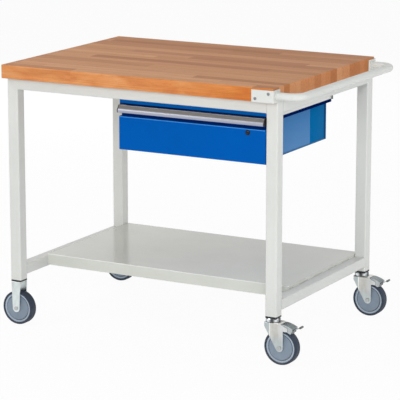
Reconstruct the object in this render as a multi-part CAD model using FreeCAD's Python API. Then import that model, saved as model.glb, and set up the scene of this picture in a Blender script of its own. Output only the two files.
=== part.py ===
import FreeCAD, Part
import math
import os

# Mobile workbench: a beech top on a welded tube frame, with a shelf, one drawer, a push handle and casters.
# Millimetres. +X points to the push handle, +Y to the back, +Z up.
# The origin is on the floor, under the middle of the bench's outline.

Vector = FreeCAD.Vector

# Worktop
TOP_LENGTH = 1000.0
TOP_DEPTH = 750.0
TOP_THICK = 45.0
TOP_EDGE_ROUND = 2.0
BENCH_HEIGHT = 890.0

# Frame tubes
LEG_SIDE = 40.0
TUBE_WALL = 2.0
TUBE_ROUND = 4.0
FRONT_OVERHANG = 34.0
REAR_OVERHANG = 8.0
TOP_RAIL_TALL = 40.0
TOP_RAIL_WIDE = 30.0
LOWER_RAIL_TALL = 35.0
LOWER_RAIL_HEIGHT = 170.0

# Shelf tray: folded sheet between the lower rails
SHELF_SHEET = 2.0
SHELF_RISE = 8.0
SHELF_FOLD = 38.0
SHELF_ROUND = 3.0
SHELF_SETBACK = 168.0
SHELF_REAR_INSET = 5.0

# Wood screws that hold rails and hangers to the worktop
SCREW_SHANK = 5.5
SCREW_BITE = 25.0
SCREW_HEAD = 11.0
SCREW_HEAD_TALL = 3.5
SCREW_ACCESS = 16.0
SCREW_END_MARGIN = 120.0
HOLE_CLEARANCE = 0.1

# Push handle and its corner brackets
HANDLE_TUBE = 25.0
HANDLE_WALL = 2.0
HANDLE_REACH = 80.0
HANDLE_BEND = 40.0
HANDLE_INSET = 23.0
BRACKET_SHEET = 4.0
BRACKET_LONG = 74.0
BRACKET_SIDE = 45.0
BRACKET_DROP = 6.0
BRACKET_ROUND = 3.0
BRACKET_SCREW_MARGIN_X = 14.0
BRACKET_SCREW_MARGIN_Z = 11.0
BRACKET_SCREW_HEAD = 10.0
BRACKET_SCREW_HEAD_TALL = 2.0
BRACKET_SCREW_LENGTH = 40.0

# Drawer front, from the front rail down
FASCIA_TALL = 16.0
FASCIA_SETBACK = 7.0
FASCIA_SHEET = 1.5
DRAWER_WIDE = 530.0
DRAWER_LEG_GAP = 2.0
DRAWER_TOP_GAP = 1.0
GRIP_TALL = 24.0
GRIP_PROUD = 12.0
GRIP_WALL = 2.5
GRIP_TOP_FLAT = 10.0
GRIP_LIP_STEP = 3.0
GRIP_CAP = 3.0
LABEL_TALL = 12.0
LABEL_THICK = 0.8
LABEL_MARGIN = 1.0
RECESS_TALL = 13.0
FRONT_TALL = 109.0
FRONT_PAN = 20.0
FRONT_SHEET = 2.0
FRONT_ROUND = 3.0
BACKING_SHEET = 2.0

# Drawer housing and hangers
HOUSING_INSET = 18.0
HOUSING_SHEET = 1.5
HOUSING_DEPTH = 446.0
HOUSING_TALL = 136.0
HOUSING_DROP = 24.0
HOUSING_FRONT_GAP = 2.0
FLANGE_LEG_GAP = 1.0
HOUSING_LIP = 14.0
FLANGE_LIP = 10.0
HANGER_SHEET = 2.0
HANGER_FOOT = 26.0
HANGER_SEAT = 15.0
HANGER_TAB = 9.0
HANGER_END_GAP = 5.0
HANGER_SCREW_INSET = 30.0

# Telescopic runners: three nested channels on each side
RUNNER_ROOM = 13.0
RUNNER_TALL = 45.0
RUNNER_SHEET = 1.2
RUNNER_PLAY = 0.4
RUNNER_LIP_ROOM = 4.0
RUNNER_REAR_ROOM = 14.5

# Drawer box
BOX_SHEET = 1.5
BOX_LIFT = 10.0
BOX_TOP_ROOM = 36.0
BOX_REAR_ROOM = 16.5

# Cam lock
LOCK_INSET = 62.0
LOCK_DROP = 12.0
LOCK_BEZEL = 17.0
LOCK_BEZEL_PROUD = 2.0
LOCK_BARREL = 15.0
LOCK_PLUG = 10.0
LOCK_PLUG_PROUD = 0.6
LOCK_TAIL = 2.0
KEY_SLOT_WIDE = 1.4
KEY_SLOT_TALL = 6.0
KEY_SLOT_DEEP = 3.0
CAM_LONG = 20.0
CAM_WIDE = 10.0
CAM_THICK = 2.5
STRIKE_WIDE = 20.0
STRIKE_GAP = 1.5
STRIKE_SHEET = 2.0
STRIKE_OVERLAP = 7.0

# Casters
WHEEL_DIA = 115.0
CASTER_RISE = 35.0
TYRE_WIDTH = 32.0
TYRE_THICK = 7.5
TYRE_SHOULDER = 4.5
TYRE_FIT = 0.05
TYRE_BEVEL_TALL = 2.5
TYRE_BEVEL_DEEP = 1.5
HUB_RIM_TALL = 6.0
HUB_RIM_STEP = 1.0
HUB_FACE_STEP = 1.5
HUB_GROOVE_TALL = 2.0
HUB_GROOVE_DEEP = 2.0
HUB_BOSS_DIA = 28.0
HUB_BOSS_FLARE = 3.0
HUB_SIDE_PLAY = 0.3
FORK_SIDE_ROOM = 3.0
FORK_SHEET = 3.0
FORK_BEND = 4.5
AXLE_DIA = 8.0
AXLE_SLEEVE_DIA = 12.0
AXLE_HEAD_DIA = 14.0
AXLE_HEAD_TALL = 3.5
AXLE_NUT_ACROSS = 13.0
AXLE_NUT_TALL = 6.5
AXLE_END = 2.0
RUN_CLEARANCE = 0.05

# Leg inserts and the stems that hold the casters
INSERT_FLANGE = 2.0
INSERT_PLUG = 26.0
INSERT_CLEARANCE = 0.1
STEM_DIA = 12.0
STEM_RISE = 24.0

# Fixed fork
FIXED_FORK_TOP = 34.0
FIXED_FORK_END = 27.0
STEM_BOLT_ACROSS = 18.0
STEM_BOLT_HEAD_TALL = 7.5

# Swivel head and fork
SWIVEL_TRAIL = 32.0
SWIVEL_HEAD_DIA = 48.0
SWIVEL_PLATE = 6.5
SWIVEL_SKIRT = 2.5
SWIVEL_SKIRT_GAP = 1.0
SWIVEL_DROP = 12.0
SWIVEL_WASHER_DIA = 26.0
SWIVEL_WASHER = 3.0
SWIVEL_RIVET_DIA = 18.0
SWIVEL_RIVET_TALL = 5.5
SWIVEL_PLAY = 0.3
BALL_COUNT = 14
BALL_RING_DIA = 32.0
SWIVEL_FORK_END = 25.0
SWIVEL_FORK_NOSE = 21.0
SWIVEL_FORK_NOSE_TALL = 14.0
SWIVEL_CROWN_END = 30.0
SHOULDER_REACH = 28.0
SHOULDER_TOP_DROP = 14.0
SHOULDER_TALL = 11.0
NOSE_WEB_TALL = 27.0

# Brake on the swivel fork
BRAKE_ROOF = 2.0
BRAKE_CHEEK = 2.0
BRAKE_CHEEK_TALL = 28.7
BRAKE_CHEEK_RAKE = 6.0
BRAKE_ROOF_START = 7.8
BRAKE_ROOF_MID = 22.0
BRAKE_ROOF_END = 45.0
BRAKE_ROOF_START_DROP = 2.3
BRAKE_ROOF_MID_DROP = 5.0
BRAKE_ROOF_END_DROP = 14.5
BRAKE_WHEEL_GAP = 2.5
PEDAL_PIVOT_X = 22.0
PEDAL_PIVOT_DROP = 23.0
PEDAL_PIN_DIA = 5.0
PEDAL_KNEE_X = 46.0
PEDAL_KNEE_DROP = 19.0
PEDAL_TIP_X = 68.0
PEDAL_TIP_DROP = 8.0
PEDAL_SHEET = 2.5
PEDAL_WIDE = 20.0
SHOE_START = 29.0
SHOE_END = 39.0
SHOE_TALL = 14.0
SHOE_GAP = 4.4

# Places worked out from the sizes above
CASTER_HEIGHT = WHEEL_DIA + CASTER_RISE
LEFT_REACH = max((WHEEL_DIA - LEG_SIDE) / 2, 0.0)
RIGHT_REACH = HANDLE_REACH + HANDLE_TUBE / 2
TOP_LEFT = LEFT_REACH - (TOP_LENGTH + LEFT_REACH + RIGHT_REACH) / 2
TOP_RIGHT = TOP_LEFT + TOP_LENGTH
TOP_FRONT = -TOP_DEPTH / 2
TOP_BACK = TOP_DEPTH / 2
TOP_UNDER = BENCH_HEIGHT - TOP_THICK
BRACKET_TOP = BENCH_HEIGHT - BRACKET_DROP

FRAME_FRONT = TOP_FRONT + FRONT_OVERHANG
FRAME_BACK = TOP_BACK - REAR_OVERHANG
LEG_BOTTOM = CASTER_HEIGHT + INSERT_FLANGE
INNER_LEFT = TOP_LEFT + LEG_SIDE
INNER_RIGHT = TOP_RIGHT - LEG_SIDE
INNER_FRONT = FRAME_FRONT + LEG_SIDE
INNER_BACK = FRAME_BACK - LEG_SIDE
RAIL_UNDER = TOP_UNDER - TOP_RAIL_TALL
LOWER_RAIL_TOP = LOWER_RAIL_HEIGHT + LOWER_RAIL_TALL
SHELF_TOP = LOWER_RAIL_TOP + SHELF_RISE

FASCIA_UNDER = RAIL_UNDER - FASCIA_TALL
GRIP_TOP = FASCIA_UNDER - DRAWER_TOP_GAP
GRIP_UNDER = GRIP_TOP - GRIP_TALL
FRONT_TOP = GRIP_UNDER - RECESS_TALL
FRONT_UNDER = FRONT_TOP - FRONT_TALL
DRAWER_RIGHT = INNER_RIGHT - DRAWER_LEG_GAP
DRAWER_LEFT = DRAWER_RIGHT - DRAWER_WIDE
BACKING_FRONT = FRAME_FRONT + FRONT_PAN
BACKING_BACK = BACKING_FRONT + BACKING_SHEET

HOUSING_LEFT = DRAWER_LEFT + HOUSING_INSET
HOUSING_RIGHT = DRAWER_RIGHT - HOUSING_INSET
HOUSING_FRONT = BACKING_BACK + HOUSING_FRONT_GAP
HOUSING_BACK = HOUSING_FRONT + HOUSING_DEPTH
HOUSING_TOP = RAIL_UNDER - HOUSING_DROP
HOUSING_UNDER = HOUSING_TOP - HOUSING_TALL
HOUSING_MIDDLE = (HOUSING_LEFT + HOUSING_RIGHT) / 2
HOUSING_FLANGE = HOUSING_INSET + DRAWER_LEG_GAP - FLANGE_LEG_GAP
BOX_LEFT = HOUSING_LEFT + HOUSING_SHEET + RUNNER_ROOM
BOX_RIGHT = HOUSING_RIGHT - HOUSING_SHEET - RUNNER_ROOM
BOX_UNDER = HOUSING_UNDER + BOX_LIFT
BOX_TOP = HOUSING_TOP - BOX_TOP_ROOM
BOX_BACK = HOUSING_BACK - HOUSING_SHEET - BOX_REAR_ROOM
RUNNER_BACK = HOUSING_BACK - HOUSING_SHEET - RUNNER_REAR_ROOM
RUNNER_LIP = RUNNER_ROOM - RUNNER_LIP_ROOM

LOCK_X = DRAWER_RIGHT - LOCK_INSET
LOCK_Z = FRONT_TOP - LOCK_DROP
STRIKE_FRONT = BACKING_BACK + STRIKE_GAP
STRIKE_BACK = STRIKE_FRONT + STRIKE_SHEET
CAM_FRONT = STRIKE_BACK + STRIKE_GAP

WHEEL_RADIUS = WHEEL_DIA / 2
TYRE_SEAT = WHEEL_RADIUS - TYRE_THICK
FORK_GAP = TYRE_WIDTH + 2 * FORK_SIDE_ROOM
FORK_OUTER = FORK_GAP + 2 * FORK_SHEET
CROWN_TOP = CASTER_HEIGHT - SWIVEL_DROP

LEG_PLACES = {
    "front_left": (TOP_LEFT, FRAME_FRONT),
    "front_right": (INNER_RIGHT, FRAME_FRONT),
    "rear_left": (TOP_LEFT, INNER_BACK),
    "rear_right": (INNER_RIGHT, INNER_BACK),
}
FIXED_CORNERS = ("front_left", "rear_left")
SWIVEL_CORNERS = ("front_right", "rear_right")

X_AXIS = Vector(1, 0, 0)
Y_AXIS = Vector(0, 1, 0)
Z_AXIS = Vector(0, 0, 1)
# Turns a wheel's axis from Z to Y and its seam to the floor
SEAM_DOWN = FreeCAD.Rotation(Vector(0, 0, -1), Vector(-1, 0, 0), Vector(0, 1, 0), "ZXY")
# Lengths closer than this count as equal when edges are picked
SAME = 1e-6

nodes = {}


def add(name, *solids):
    """Keep one named sub-part, as one solid or as a group of equal solids."""
    nodes[name] = solids[0] if len(solids) == 1 else Part.makeCompound(list(solids))


def block(low, high):
    return Part.makeBox(high[0] - low[0], high[1] - low[1], high[2] - low[2], Vector(*low))


def edges_along(shape, axis):
    """The straight edges of a shape that run along one axis."""
    found = []
    for edge in shape.Edges:
        run = edge.Vertexes[-1].Point - edge.Vertexes[0].Point
        if run.Length > 0 and abs(abs(run.normalize().dot(axis)) - 1) < SAME:
            found.append(edge)
    return found


def edges_at_y(shape, y):
    """The edges of a shape whose middle lies in one upright plane."""
    return [edge for edge in shape.Edges if abs(edge.CenterOfMass.y - y) < SAME]


def rounded_block(low, high, axis, radius):
    solid = block(low, high)
    return solid.makeFillet(radius, edges_along(solid, axis))


def square_tube(low, high, axis):
    """A tube along one axis, with rounded corners inside and out."""
    step = Vector(TUBE_WALL, TUBE_WALL, TUBE_WALL) - axis * TUBE_WALL
    inner_low = Vector(*low) + step
    inner_high = Vector(*high) - step
    outer = rounded_block(low, high, axis, TUBE_ROUND)
    return outer.cut(rounded_block(inner_low, inner_high, axis, TUBE_ROUND - TUBE_WALL))


def pin(radius, start, end):
    run = Vector(*end) - Vector(*start)
    return Part.makeCylinder(radius, run.Length, Vector(*start), run)


def polygon_face(points):
    vectors = [Vector(*p) for p in points]
    return Part.Face(Part.makePolygon(vectors + [vectors[0]]))


def slab(points_xz, y0, y1):
    """An outline in the XZ plane, given thickness along Y."""
    return polygon_face([(x, y0, z) for x, z in points_xz]).extrude(Vector(0, y1 - y0, 0))


def turned(points_rz, centre, axis):
    """A closed outline of radius and height, turned full round an axis through the centre."""
    face = polygon_face([(r, 0, z) for r, z in points_rz])
    solid = face.revolve(Vector(0, 0, 0), Z_AXIS, 360)
    solid.Placement = FreeCAD.Placement(Vector(*centre), FreeCAD.Rotation(Z_AXIS, axis))
    return solid


def hex_prism(across, start, run):
    """A hexagonal bolt head or nut that stands on a point and rises along a run."""
    corner = across / math.sqrt(3)
    turns = [i * math.pi / 3 for i in range(6)]
    points = [(corner * math.cos(t), corner * math.sin(t), 0) for t in turns]
    solid = polygon_face(points).extrude(Vector(0, 0, run.Length))
    solid.Placement = FreeCAD.Placement(Vector(*start), FreeCAD.Rotation(Z_AXIS, run))
    return solid


def mirrored_y(solid):
    return solid.mirror(Vector(0, 0, 0), Y_AXIS)


def mirrored_x(solid, x):
    return solid.mirror(Vector(x, 0, 0), X_AXIS)


def moved(solid, x, y, z=0.0):
    copy = solid.copy()
    copy.translate(Vector(x, y, z))
    return copy


def leg_centre(corner):
    x, y = LEG_PLACES[corner]
    return x + LEG_SIDE / 2, y + LEG_SIDE / 2


# Wood screws: their places under the worktop, and the foot level that each head bears on
def rail_screw_places():
    side_y = (INNER_FRONT + SCREW_END_MARGIN, INNER_BACK - SCREW_END_MARGIN)
    side_x = (TOP_LEFT + TOP_RAIL_WIDE / 2, TOP_RIGHT - TOP_RAIL_WIDE / 2)
    cross_x = (INNER_LEFT + SCREW_END_MARGIN, INNER_RIGHT - SCREW_END_MARGIN)
    cross_y = (FRAME_FRONT + TOP_RAIL_WIDE / 2, FRAME_BACK - TOP_RAIL_WIDE / 2)
    return [(x, y) for x in side_x for y in side_y] + [(x, y) for y in cross_y for x in cross_x]


def hanger_ends():
    """The front and rear ends of the hangers, which start behind the front legs."""
    front = FRAME_FRONT + max(TOP_RAIL_WIDE, LEG_SIDE) + HANGER_END_GAP
    return front, HOUSING_BACK - HANGER_END_GAP


def right_hanger_screw_places():
    x = HOUSING_RIGHT + HOUSING_FLANGE - HANGER_FOOT / 2
    front, rear = hanger_ends()
    return [(x, front + HANGER_SCREW_INSET), (x, rear - HANGER_SCREW_INSET)]


def hanger_screw_places():
    right = right_hanger_screw_places()
    return right + [(2 * HOUSING_MIDDLE - x, y) for x, y in right]


def wood_screw(x, y, seat):
    """A screw whose head bears upwards on a sheet whose upper face is the worktop's underside."""
    head = pin(SCREW_HEAD / 2, (x, y, seat - SCREW_HEAD_TALL), (x, y, seat))
    shank = pin(SCREW_SHANK / 2, (x, y, seat), (x, y, TOP_UNDER + SCREW_BITE))
    return head.fuse(shank).removeSplitter()


def shank_hole(x, y, z0, z1):
    return pin(SCREW_SHANK / 2 + HOLE_CLEARANCE, (x, y, z0), (x, y, z1))


def build_screws():
    rail = [wood_screw(x, y, TOP_UNDER - TUBE_WALL) for x, y in rail_screw_places()]
    hanger = [wood_screw(x, y, TOP_UNDER - HANGER_SHEET) for x, y in hanger_screw_places()]
    add("worktop_screws", *(rail + hanger))


# Worktop
def bracket_screw_places():
    """Two screws on a diagonal of the bracket's front plate."""
    x0 = TOP_RIGHT - BRACKET_LONG + BRACKET_SCREW_MARGIN_X
    x1 = TOP_RIGHT - BRACKET_SCREW_MARGIN_X
    return [(x0, TOP_UNDER + BRACKET_SCREW_MARGIN_Z), (x1, BRACKET_TOP - BRACKET_SCREW_MARGIN_Z)]


def bracket_screw_hole(x, z, depth):
    radius = SCREW_SHANK / 2 + HOLE_CLEARANCE
    return pin(radius, (x, TOP_FRONT - BRACKET_SHEET, z), (x, TOP_FRONT + depth, z))


def build_worktop():
    top = block((TOP_LEFT, TOP_FRONT, TOP_UNDER), (TOP_RIGHT, TOP_BACK, BENCH_HEIGHT))
    top = top.makeFillet(TOP_EDGE_ROUND, top.Edges)
    places = rail_screw_places() + hanger_screw_places()
    depth = TOP_UNDER + SCREW_BITE + HOLE_CLEARANCE
    holes = [shank_hole(x, y, TOP_UNDER, depth) for x, y in places]
    for x, z in bracket_screw_places():
        front = bracket_screw_hole(x, z, BRACKET_SCREW_LENGTH)
        holes += [front, mirrored_y(front)]
    add("worktop", top.cut(holes))


# Frame
def build_legs():
    for corner, (x, y) in LEG_PLACES.items():
        leg = square_tube((x, y, LEG_BOTTOM), (x + LEG_SIDE, y + LEG_SIDE, TOP_UNDER), Z_AXIS)
        add("leg_" + corner, leg)


def with_screw_holes(rail, low, high):
    """Shank holes in a top rail's upper wall and access holes in its lower wall."""
    cuts = []
    for x, y in rail_screw_places():
        if low[0] < x < high[0] and low[1] < y < high[1]:
            cuts.append(shank_hole(x, y, TOP_UNDER - TUBE_WALL, TOP_UNDER))
            cuts.append(pin(SCREW_ACCESS / 2, (x, y, RAIL_UNDER), (x, y, RAIL_UNDER + TUBE_WALL)))
    return rail.cut(cuts)


def build_top_rails():
    wide = TOP_RAIL_WIDE
    spans = {
        "front": ((INNER_LEFT, FRAME_FRONT), (INNER_RIGHT, FRAME_FRONT + wide), X_AXIS),
        "rear": ((INNER_LEFT, FRAME_BACK - wide), (INNER_RIGHT, FRAME_BACK), X_AXIS),
        "left": ((TOP_LEFT, INNER_FRONT), (TOP_LEFT + wide, INNER_BACK), Y_AXIS),
        "right": ((TOP_RIGHT - wide, INNER_FRONT), (TOP_RIGHT, INNER_BACK), Y_AXIS),
    }
    for side, (low, high, axis) in spans.items():
        rail = square_tube((*low, RAIL_UNDER), (*high, TOP_UNDER), axis)
        add("top_rail_" + side, with_screw_holes(rail, low, high))


def build_lower_rails():
    for side, x in (("left", TOP_LEFT), ("right", INNER_RIGHT)):
        low = (x, INNER_FRONT, LOWER_RAIL_HEIGHT)
        high = (x + LEG_SIDE, INNER_BACK, LOWER_RAIL_TOP)
        add("lower_rail_" + side, square_tube(low, high, Y_AXIS))


def build_shelf():
    """A tray of folded sheet, open below, whose sides are welded to the lower rails."""
    low = (INNER_LEFT, FRAME_FRONT + SHELF_SETBACK, SHELF_TOP - SHELF_FOLD)
    high = (INNER_RIGHT, FRAME_BACK - SHELF_REAR_INSET, SHELF_TOP)
    outer = block(low, high)
    top_edges = [e for e in edges_along(outer, X_AXIS) if e.CenterOfMass.z > SHELF_TOP - SHELF_SHEET]
    outer = outer.makeFillet(SHELF_ROUND, top_edges)
    hollow_low = (low[0] + SHELF_SHEET, low[1] + SHELF_SHEET, low[2])
    hollow_high = (high[0] - SHELF_SHEET, high[1] - SHELF_SHEET, high[2] - SHELF_SHEET)
    hollow = block(hollow_low, hollow_high)
    inner_edges = [e for e in edges_along(hollow, X_AXIS) if e.CenterOfMass.z > low[2] + SHELF_SHEET]
    add("shelf_tray", outer.cut(hollow.makeFillet(SHELF_ROUND - SHELF_SHEET, inner_edges)))


def leg_insert(corner):
    x, y = LEG_PLACES[corner]
    inset = TUBE_WALL + INSERT_CLEARANCE
    flange_high = (x + LEG_SIDE, y + LEG_SIDE, LEG_BOTTOM)
    flange = rounded_block((x, y, CASTER_HEIGHT), flange_high, Z_AXIS, TUBE_ROUND)
    plug_high = (x + LEG_SIDE - inset, y + LEG_SIDE - inset, LEG_BOTTOM + INSERT_PLUG)
    plug = rounded_block((x + inset, y + inset, LEG_BOTTOM), plug_high, Z_AXIS, TUBE_ROUND - TUBE_WALL)
    cx, cy = leg_centre(corner)
    bore = pin(STEM_DIA / 2 + HOLE_CLEARANCE, (cx, cy, CASTER_HEIGHT), (cx, cy, LEG_BOTTOM + INSERT_PLUG))
    return flange.fuse(plug).cut(bore)


def build_inserts():
    add("leg_inserts", *[leg_insert(corner) for corner in LEG_PLACES])


# Push handle
def handle_bracket():
    """The front corner's L bracket: a plate on the worktop's front and a leg on its end."""
    low = (TOP_RIGHT - BRACKET_LONG, TOP_FRONT - BRACKET_SHEET, TOP_UNDER)
    high = (TOP_RIGHT + BRACKET_SHEET, TOP_FRONT + BRACKET_SIDE, BRACKET_TOP)
    outer = rounded_block(low, high, Z_AXIS, BRACKET_ROUND)
    keep_out = block((TOP_LEFT, TOP_FRONT, TOP_UNDER), (TOP_RIGHT, TOP_BACK, BRACKET_TOP))
    holes = [bracket_screw_hole(x, z, 0) for x, z in bracket_screw_places()]
    return outer.cut([keep_out] + holes)


def bracket_screw(x, z):
    face = TOP_FRONT - BRACKET_SHEET
    head = pin(BRACKET_SCREW_HEAD / 2, (x, face - BRACKET_SCREW_HEAD_TALL, z), (x, face, z))
    rim = edges_at_y(head, face - BRACKET_SCREW_HEAD_TALL)
    head = head.makeFillet(BRACKET_SCREW_HEAD_TALL / 2, rim)
    shank = pin(SCREW_SHANK / 2, (x, face, z), (x, TOP_FRONT + BRACKET_SCREW_LENGTH - HOLE_CLEARANCE, z))
    return head.fuse(shank)


def handle_path():
    """Out from the front bracket, round a bend, along the worktop's end, and back in."""
    start_x = TOP_RIGHT + BRACKET_SHEET
    run_x = TOP_RIGHT + HANDLE_REACH
    bend_x = run_x - HANDLE_BEND
    y0 = TOP_FRONT + HANDLE_INSET
    y1 = -y0
    z = (TOP_UNDER + BRACKET_TOP) / 2
    cut_in = HANDLE_BEND * (1 - math.sqrt(0.5))
    first = [Vector(start_x, y0, z), Vector(bend_x, y0, z)]
    second = [Vector(run_x, y0 + HANDLE_BEND, z), Vector(run_x, y1 - HANDLE_BEND, z)]
    third = [Vector(bend_x, y1, z), Vector(start_x, y1, z)]
    mid_front = Vector(run_x - cut_in, y0 + cut_in, z)
    mid_back = Vector(run_x - cut_in, y1 - cut_in, z)
    edges = [
        Part.LineSegment(*first).toShape(),
        Part.Arc(first[1], mid_front, second[0]).toShape(),
        Part.LineSegment(*second).toShape(),
        Part.Arc(second[1], mid_back, third[0]).toShape(),
        Part.LineSegment(*third).toShape(),
    ]
    return Part.Wire(edges)


def handle_rod(radius):
    path = handle_path()
    start = path.Vertexes[0].Point
    ring = Part.Wire(Part.makeCircle(radius, start, X_AXIS))
    return path.makePipeShell([ring], True, False)


def build_handle():
    bracket = handle_bracket()
    add("handle_bracket_front", bracket)
    add("handle_bracket_rear", mirrored_y(bracket))
    add("push_handle", handle_rod(HANDLE_TUBE / 2).cut(handle_rod(HANDLE_TUBE / 2 - HANDLE_WALL)))
    front = [bracket_screw(x, z) for x, z in bracket_screw_places()]
    add("handle_screws", *(front + [mirrored_y(screw) for screw in front]))


# Drawer housing
def build_housing():
    z0, z1 = HOUSING_UNDER, HOUSING_TOP
    y0, y1 = HOUSING_FRONT, HOUSING_BACK
    sheet = HOUSING_SHEET
    wall = block((HOUSING_RIGHT - sheet, y0, z0), (HOUSING_RIGHT, y1, z1))
    flange = block((HOUSING_RIGHT, y0, z1 - sheet), (HOUSING_RIGHT + HOUSING_FLANGE, y1, z1))
    edge = HOUSING_RIGHT + HOUSING_FLANGE
    fold = block((edge - sheet, y0, z1 - FLANGE_LIP), (edge, y1, z1))
    lip = block((HOUSING_RIGHT - sheet - HOUSING_LIP, y0, z0), (HOUSING_RIGHT - sheet, y1, z0 + sheet))
    right = wall.fuse([flange, fold, lip]).removeSplitter()
    add("housing_side_right", right)
    add("housing_side_left", mirrored_x(right, HOUSING_MIDDLE))
    back = block((HOUSING_LEFT + sheet, y1 - sheet, z0 + sheet), (HOUSING_RIGHT - sheet, y1, z1))
    add("housing_back", back)


def build_hangers():
    """Folded strips: a foot under the worktop, a web, a seat on the housing's flange and a tab at the rear."""
    outer = HOUSING_RIGHT + HOUSING_FLANGE
    y0, y1 = hanger_ends()
    sheet = HANGER_SHEET
    foot = block((outer - HANGER_FOOT, y0, TOP_UNDER - sheet), (outer, y1, TOP_UNDER))
    web = block((outer - sheet, y0, HOUSING_TOP), (outer, y1, TOP_UNDER))
    seat = block((outer - HANGER_SEAT, y0, HOUSING_TOP), (outer, y1, HOUSING_TOP + sheet))
    tab = block((outer - sheet, y1 - sheet, HOUSING_TOP), (outer + HANGER_TAB, y1, TOP_UNDER))
    holes = [shank_hole(x, y, TOP_UNDER - sheet, TOP_UNDER) for x, y in right_hanger_screw_places()]
    right = foot.fuse([web, seat, tab]).removeSplitter().cut(holes)
    add("housing_hangers", right, mirrored_x(right, HOUSING_MIDDLE))


def build_fascia():
    """A bent strip under the front rail, with the tab that the lock's cam catches behind."""
    front = FRAME_FRONT + FASCIA_SETBACK
    sheet = FASCIA_SHEET
    face = block((DRAWER_LEFT, front, FASCIA_UNDER), (DRAWER_RIGHT, front + sheet, RAIL_UNDER))
    ledge = block((DRAWER_LEFT, front, RAIL_UNDER - sheet), (DRAWER_RIGHT, STRIKE_BACK, RAIL_UNDER))
    strike_under = LOCK_Z + CAM_LONG - CAM_WIDE / 2 - STRIKE_OVERLAP
    half = STRIKE_WIDE / 2
    strike = block((LOCK_X - half, STRIKE_FRONT, strike_under), (LOCK_X + half, STRIKE_BACK, RAIL_UNDER))
    add("drawer_fascia", face.fuse([ledge, strike]).removeSplitter())


# Runners: each channel is drawn on the right side of the drawer and mirrored
def channel(web_x, lip_end_x, half_tall):
    """A channel along Y whose web starts at web_x and whose lips end at lip_end_x."""
    z = (BOX_UNDER + BOX_TOP) / 2
    toward = 1 if lip_end_x > web_x else -1
    x0, x1 = min(web_x, lip_end_x), max(web_x, lip_end_x)
    outer = block((x0, HOUSING_FRONT, z - half_tall), (x1, RUNNER_BACK, z + half_tall))
    inner_web = web_x + toward * RUNNER_SHEET
    h0, h1 = (inner_web, x1) if toward > 0 else (x0, inner_web)
    inner_half = half_tall - RUNNER_SHEET
    return outer.cut(block((h0, HOUSING_FRONT, z - inner_half), (h1, RUNNER_BACK, z + inner_half)))


def build_runners():
    wall = HOUSING_RIGHT - HOUSING_SHEET
    half = RUNNER_TALL / 2
    nest = RUNNER_SHEET + RUNNER_PLAY
    fixed = channel(wall, wall - RUNNER_LIP, half)
    middle = channel(wall - nest, wall - nest - RUNNER_LIP, half - nest)
    sliding = channel(BOX_RIGHT, BOX_RIGHT + RUNNER_LIP, half - 2 * nest)
    for name, right in (("fixed_runners", fixed), ("middle_runners", middle), ("drawer_runners", sliding)):
        add(name, right, mirrored_x(right, HOUSING_MIDDLE))


# Drawer
def build_drawer_box():
    y0, y1 = BACKING_BACK, BOX_BACK
    z0, z1 = BOX_UNDER, BOX_TOP
    sheet = BOX_SHEET
    add("drawer_side_left", block((BOX_LEFT, y0, z0), (BOX_LEFT + sheet, y1, z1)))
    add("drawer_side_right", block((BOX_RIGHT - sheet, y0, z0), (BOX_RIGHT, y1, z1)))
    inner_left, inner_right = BOX_LEFT + sheet, BOX_RIGHT - sheet
    add("drawer_bottom", block((inner_left, y0, z0), (inner_right, y1, z0 + sheet)))
    add("drawer_back", block((inner_left, y1 - sheet, z0 + sheet), (inner_right, y1, z1)))


def lock_hole(y0, y1):
    return pin(LOCK_BARREL / 2 + HOLE_CLEARANCE, (LOCK_X, y0, LOCK_Z), (LOCK_X, y1, LOCK_Z))


def build_drawer_front():
    """A pan of folded sheet with rounded front edges, open behind, and the plate that it is fixed to."""
    outer = block((DRAWER_LEFT, FRAME_FRONT, FRONT_UNDER), (DRAWER_RIGHT, BACKING_FRONT, FRONT_TOP))
    outer = outer.makeFillet(FRONT_ROUND, edges_at_y(outer, FRAME_FRONT))
    sheet = FRONT_SHEET
    hollow = block((DRAWER_LEFT + sheet, FRAME_FRONT + sheet, FRONT_UNDER + sheet),
                   (DRAWER_RIGHT - sheet, BACKING_FRONT, FRONT_TOP - sheet))
    add("drawer_front", outer.cut([hollow, lock_hole(FRAME_FRONT, FRAME_FRONT + sheet)]))
    backing = block((DRAWER_LEFT, BACKING_FRONT, FRONT_UNDER + sheet),
                    (DRAWER_RIGHT, BACKING_BACK, GRIP_TOP))
    add("drawer_backing", backing.cut(lock_hole(BACKING_FRONT, BACKING_BACK)))


def grip_outline(inset):
    """The grip's outline in Y and Z: flat on top, a slanted label face, and a rounded lip below."""
    nose = FRAME_FRONT - GRIP_PROUD
    back = (BACKING_FRONT, GRIP_TOP - inset)
    label_top = (nose + GRIP_TOP_FLAT, GRIP_TOP - inset)
    label_under = (nose + GRIP_LIP_STEP + inset, GRIP_TOP - LABEL_TALL)
    lip_mid = (nose + inset, (GRIP_TOP - LABEL_TALL + GRIP_UNDER) / 2)
    lip_end = (nose + GRIP_LIP_STEP + inset, GRIP_UNDER)
    return back, label_top, label_under, lip_mid, lip_end


def grip_edges(inset, x):
    back, label_top, label_under, lip_mid, lip_end = [Vector(x, y, z) for y, z in grip_outline(inset)]
    return [
        Part.LineSegment(back, label_top).toShape(),
        Part.LineSegment(label_top, label_under).toShape(),
        Part.Arc(label_under, lip_mid, lip_end).toShape(),
    ]


def run_along_x(edges, length):
    """A closed loop of edges, filled and extruded along X."""
    wire = Part.Wire(Part.__sortEdges__(edges))
    return Part.Face(wire).extrude(Vector(length, 0, 0))


def line(start, end):
    return Part.LineSegment(start, end).toShape()


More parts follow.
